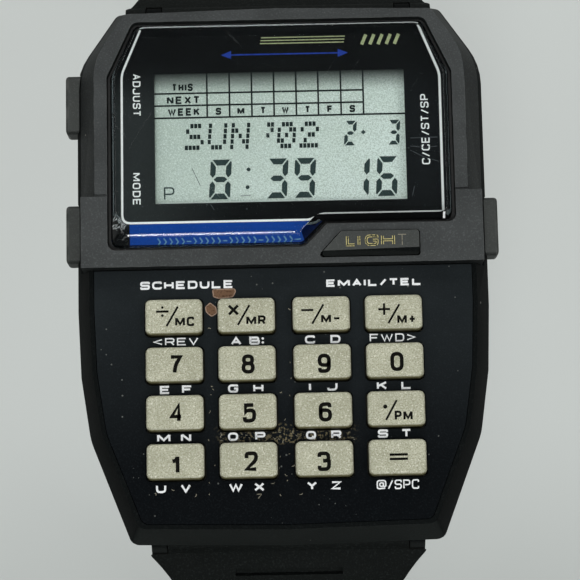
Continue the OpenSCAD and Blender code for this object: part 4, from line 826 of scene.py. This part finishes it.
# keys and their legends
keyLook = Look(round=0.26, z=10.196, line=0.2, digitLine=0.345, tall=1.76, wide=1.2, thinWide=0.8, right=0.17,
               slash=0.185)
digitShifts = {"1": (-0.2, -0.26), "2": (0.07, -0.1), "3": (-0.2, -0.24), "4": (-0.03, 0.0), "5": (-0.03, -0.13),
               "6": (0.0, -0.18), "7": (-0.04, 0.0), "8": (-0.07, -0.07), "9": (0.0, -0.15), "0": (0.0, -0.12)}
functionKeys = {"divide": ("MC", (0.13, -0.89, 1.86, -0.02), (-0.66, -0.86, 0.39, 0.93)),
                "multiply": ("MR", (0.0, -0.9, 1.76, -0.03), (-0.77, -0.88, 0.31, 0.94)),
                "minus": ("M-", (-0.02, -0.88, 1.74, -0.02), (-0.83, -0.90, 0.22, 0.86)),
                "plus": ("M+", (0.3, -1.08, 2.0, -0.2), (-0.51, -1.0, 0.54, 0.74)),
                "point": ("PM", (-0.18, -1.1, 1.44, -0.2), (-0.96, -1.02, 0.04, 0.75))}
keySigns = {  # bars as two ends, width and lift, and dots as centre and radius
    "divide": ([(-1.59, 0.5, -0.45, 0.5, 0.2, 0)], [(-1.02, 0.87, 0.12), (-1.02, 0.13, 0.12)]),
    "multiply": ([(-1.56, 0.1, -0.74, 0.92, 0.25, 0), (-1.56, 0.92, -0.74, 0.1, 0.25, 0.001)], []),
    "minus": ([(-1.8, 0.36, -0.71, 0.36, 0.2, 0)], []),
    "plus": ([(-1.4, 0.3, -0.32, 0.3, 0.2, 0), (-0.86, -0.24, -0.86, 0.84, 0.2, 0.001)], []),
    "point": ([], [(-1.0, 0.19, 0.19)]),
    "equals": ([(-0.73, 0.23, 0.91, 0.23, 0.22, 0), (-0.73, -0.16, 0.91, -0.16, 0.22, 0)], [])}
for node in [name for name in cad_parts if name.startswith("key_")]:
    softened(node, "cap_" + node, keyBeige, node, keyLook.round, 3, above(0.0095))
    low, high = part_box(node)
    x, y, z = (low.x + high.x) / 2 / mm, (low.y + high.y) / 2 / mm, keyLook.z
    bm, kind = bmesh.new(), node[4:]
    if kind in functionKeys:
        label, box, slash = functionKeys[kind]
        addWord(bm, label, (x + box[0], y + box[1], x + box[2], y + box[3]), z, keyLook.line, 0, 0.22)
        addBar(bm, (x + slash[0], y + slash[1]), (x + slash[2], y + slash[3]), keyLook.slash, z)
    bars, dots = keySigns.get(kind, ([], []))
    for left, start, right, end, width, lift in bars:
        addBar(bm, (x + left, y + start), (x + right, y + end), width, z + lift)
    for left, up, radius in dots:
        addDisc(bm, (x + left, y + up), radius, z)
    if kind in digitShifts:
        wide, tall = (keyLook.thinWide if kind == "1" else keyLook.wide) / 2, keyLook.tall / 2
        x, y = x + keyLook.right + digitShifts[kind][0], y + digitShifts[kind][1]
        addWord(bm, kind, (x - wide, y - tall, x + wide, y + tall), z, keyLook.digitLine, 0, 0.3, 0.6)
    finishPrint(bm, "legend_" + node, "keyInk", 0.01, node)
print("keys ready")

# push buttons
buttonLook = Look(round=0.3, lightRound=0.16, lightSlope=0.6, lightDrop=0.42)
for node in ("adjust_button", "mode_button", "start_button"):
    softened(node, node + "Cap", buttonGrey, node, buttonLook.round, 3,
             lambda edge: abs(middle(edge).x) > 0.0188)
bm = nodeMesh("light_button")
topOfLight, frontOfLight = max(v.co.z for v in bm.verts), min(v.co.y for v in bm.verts)
deep, far = buttonLook.lightDrop * mm, buttonLook.lightSlope * mm
cut = bmesh.ops.bisect_plane(bm, geom=list(bm.verts) + list(bm.edges) + list(bm.faces), dist=0.0000001,
                             plane_co=(0, frontOfLight + far, topOfLight), plane_no=(0, -deep, far), clear_outer=True)
rim = [item for item in cut["geom_cut"] if isinstance(item, bmesh.types.BMEdge)]
# the front slope gets the case's black resin as painted shade
slope = bmesh.ops.contextual_create(bm, geom=rim)
for face in slope["faces"]:
    face.material_index = 1
bmesh.ops.recalc_face_normals(bm, faces=bm.faces)
bevelEdges(bm, sharpEdges(bm, 40, above(topOfLight - 0.0002)), buttonLook.lightRound * mm, 2)
lightCap = standIn(bm, "light_button", "lightCap", buttonGrey, "light_button")
lightCap.data.materials.append(caseResin)

lightWord = Look(low=1.02, high=2.06, outline=0.25, fill=0.1, faint=0.07,
                 places={"L": (5.79, 6.68), "I": (6.85, 7.09), "G": (7.5, 8.74), "H": (8.98, 10.24)},
                 faintPlace=(10.49, 11.3))
lightZ = 11.166
outlines, fills, faint = bmesh.new(), bmesh.new(), bmesh.new()
low, high, grow = lightWord.low, lightWord.high, (lightWord.outline - lightWord.fill) / 2
for char, (left, right) in lightWord.places.items():
    addWord(outlines, char, (left, low, right, high), lightZ, lightWord.outline)
    addWord(fills, char, (left + grow, low + grow, right - grow, high - grow), lightZ + 0.006, lightWord.fill)
left, right = lightWord.faintPlace
addWord(faint, "T", (left, low, right, high), lightZ, lightWord.faint)
for bm, name, ink in ((outlines, "lightWord", "wornInk"), (fills, "lightWordFill", "dotInk"),
                      (faint, "lightWordFaint", "fibrePale")):
    finishPrint(bm, name, ink, 0.006, "light_button")
print("buttons ready")

# strap, keeper and buckle
straps = (  # node, name, material, slot, rounding and its steps
    ("buckle_strap", "strapWithBuckle", strapResin, "resin", 0.28, 2),
    ("hole_strap", "strapWithHoles", strapResin, "resin", 0.28, 2),
    ("strap_keeper", "keeperLoop", strapResin, "resin", 0.35, 3),
    ("buckle_frame", "buckleFrame", steelBrushed, "steel", 0.22, 3),
    ("buckle_tongue", "buckleTongue", steelBrushed, "steel", 0.16, 3))
for node, name, material, slot, width, segments in straps:
    softened(node, name, material, node, width, segments)

# a black ring of painted shade that fills the thin gap between the strap and the case ears
gapShadeLook = Look(across=(11.11, 11.19, 12.6), radii=(0.75, 1.66, 1.74), hinge=(24.5, 3.0), start=-80, end=25)
near, face, far = gapShadeLook.across
hub, inner, outer = gapShadeLook.radii
profile = [(near, hub), (face, hub), (face, inner), (far, inner), (far, outer), (near, outer)]
start, end = math.radians(gapShadeLook.start), math.radians(gapShadeLook.end)
for node, way in (("buckle_strap", 1), ("hole_strap", -1)):
    bm = bmesh.new()
    for side in (-1, 1):
        rim = bm.faces.new([bm.verts.new(Vector((side * x, radius * math.cos(start) * way,
                                                 radius * math.sin(start))) * mm) for x, radius in profile])
        bmesh.ops.spin(bm, geom=[rim], cent=(0, 0, 0), axis=(way, 0, 0), steps=12, use_duplicate=False,
                       angle=end - start)
    hingeY, hingeZ = gapShadeLook.hinge
    bmesh.ops.translate(bm, verts=bm.verts, vec=Vector((0, way * hingeY, hingeZ)) * mm)
    finishPiece(bm, node + "Grime", inks["jointGrime"], node)
print("strap ready")

# inner parts and fasteners
mouldings = {  # colour, shade, roughness, size of the pits and the nodes
    "rubberBlack": ((30, 30, 30), (20, 20, 20), 0.7, 3000.0, ["crystal_gasket", "back_gasket", "button_seals"]),
    "rubberGrey": ((70, 70, 70), (54, 54, 54), 0.65, 3000.0, ["keypad_mat"]),
    "boardGreen": ((30, 92, 62), (22, 70, 46), 0.4, 3000.0, ["circuit_board"]),
    "pottingBlack": ((24, 24, 24), (14, 14, 14), 0.3, 3000.0, ["chip_cover"]),
    "frameWhite": ((222, 222, 214), (204, 204, 194), 0.5, 3000.0, ["module_frame"]),
    "zebraPink": ((216, 132, 108), (60, 50, 50), 0.6, 9000.0, ["zebra_strips"]),
    "glowTeal": ((150, 196, 190), (126, 176, 170), 0.4, 3000.0, ["backlight_panel"]),
}
finishes = {
    steelBrushed: ["quartz_can", "battery", "battery_clip", "buckle_bar", "upper_spring_bar", "lower_spring_bar",
                   *[f"back_screw_{number}" for number in (1, 2, 3, 4)]],
    springSteel: ["buzzer_spring", "light_spring", *[f"{button}_{part}" for button in ("adjust", "mode", "start")
                                                     for part in ("clip", "spring")]],
    brassPlate: ["buzzer_disc"],
    **{plainMoulding(name, *look[:4]): look[4] for name, look in mouldings.items()},
}
for material, nodes in finishes.items():
    for node in nodes:
        putMaterial(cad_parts[node], material)
softened("case_back", "backPlate", steelBrushed, "case", caseLook.backRound, 2)
print("inner parts ready")

# floor, lamps and camera
studio = Look(floor=(192, 197, 194), floorDark=(184, 189, 186), floorSize=3.0, floorGlow=0.42,
              glowTone=(222, 227, 224), glowLow=(146, 151, 148), glowY=(-0.06, -0.004), air=(0.05, 0.05, 0.05, 1.0),
              horizon=(194, 199, 196), ceiling=(58, 60, 59), rise=(0.15, 0.42))


def seenRays(tree):  # rays that show the backdrop, and not those that light the watch
    rays = addNode(tree, "LightPath").outputs
    return calc("MAXIMUM", rays["Is Camera Ray"],
                calc("MAXIMUM", rays["Is Glossy Ray"], rays["Is Transmission Ray"]))


bm = bmesh.new()
bmesh.ops.create_grid(bm, x_segments=1, y_segments=1, size=studio.floorSize)
bmesh.ops.translate(bm, verts=bm.verts, vec=(0, 0, cadBox[0][2] - 0.0002))
floor = addObject("studioFloor", bpy.data.meshes.new("studioFloor"))
bm.to_mesh(floor.data)
bm.free()
floorPaint, surface, place = startMaterial("floorPaint")
mottle = use(slowMottle, place, Scale=8.0)
paint(surface, blend(mottle, studio.floorDark, studio.floor), 0.8, 0.2)
# the glow that is seen darkens towards the front as painted shade
glowTone = blend(window(axes(place)["Y"], *studio.glowY), studio.glowLow, studio.glowTone)
mixShaders(surface, times(seenRays(surface.id_data), studio.floorGlow),
           addNode(surface.id_data, "Emission", {"Color": glowTone}))
putMaterial(floor, floorPaint)

world = bpy.data.worlds.new("studioAir")
scene.world = world
world.use_nodes = True
tree = world.node_tree
rise = axes(addNode(tree, "TexCoord").outputs["Generated"])["Z"]
backdrop = blend(window(rise, *studio.rise), studio.horizon, studio.ceiling)
feed(tree.nodes["Background"], {"Color": blend(seenRays(tree), studio.air, backdrop)})

lamps = {  # place in metres, size and brightness of each softbox
    "glareBox": ((-0.045, -0.25, 0.61), (0.1, 0.2), 19.0),
    "glareHalo": ((-0.045, -0.064, 0.65), (0.1, 0.19), 6.0),
    "cornerBox": ((0.40, -0.29, 0.5), (0.2, 0.2), 4.5),
    "frontWide": ((0.0, -0.46, 0.44), (0.6, 0.2), 1.7),
    "leftBox": ((-0.42, 0.05, 0.55), (0.4, 0.5), 1.15),
    "rightBox": ((0.42, 0.05, 0.55), (0.4, 0.5), 1.12),
    "backBox": ((0.0, 0.55, 0.4), (0.6, 0.3), 3.1),
}
for name, (at, size, glow) in lamps.items():
    light = bpy.data.lights.new(name, "AREA")
    light.shape = "RECTANGLE"
    light.size, light.size_y = size
    light.energy = glow * math.pi * size[0] * size[1]
    holder = addObject(name, light)
    holder.location = at
    holder.rotation_euler = (-Vector(at)).to_track_quat("-Z", "Y").to_euler()

view = Look(lens=126.5, tilt=9.0, roll=-1.187, target=(0.62, -2.54, 9.0), distance=186.5)
tilt, roll = math.radians(view.tilt), math.radians(view.roll)
away = Vector((0, -math.sin(tilt), math.cos(tilt)))
across = Vector((1, 0, 0)) * math.cos(roll) + Vector((0, math.cos(tilt), math.sin(tilt))) * math.sin(roll)
up = away.cross(across)
camera = addObject("photoCamera", bpy.data.cameras.new("photoCamera"))
camera.data.lens = view.lens
camera.data.clip_start = 0.01
camera.matrix_world = Matrix.Translation((Vector(view.target) + away * view.distance) * mm) \
    @ Matrix((across, up, away)).transposed().to_4x4()
scene.camera = camera
scene.view_settings.view_transform = "Standard"

print("scene ready")
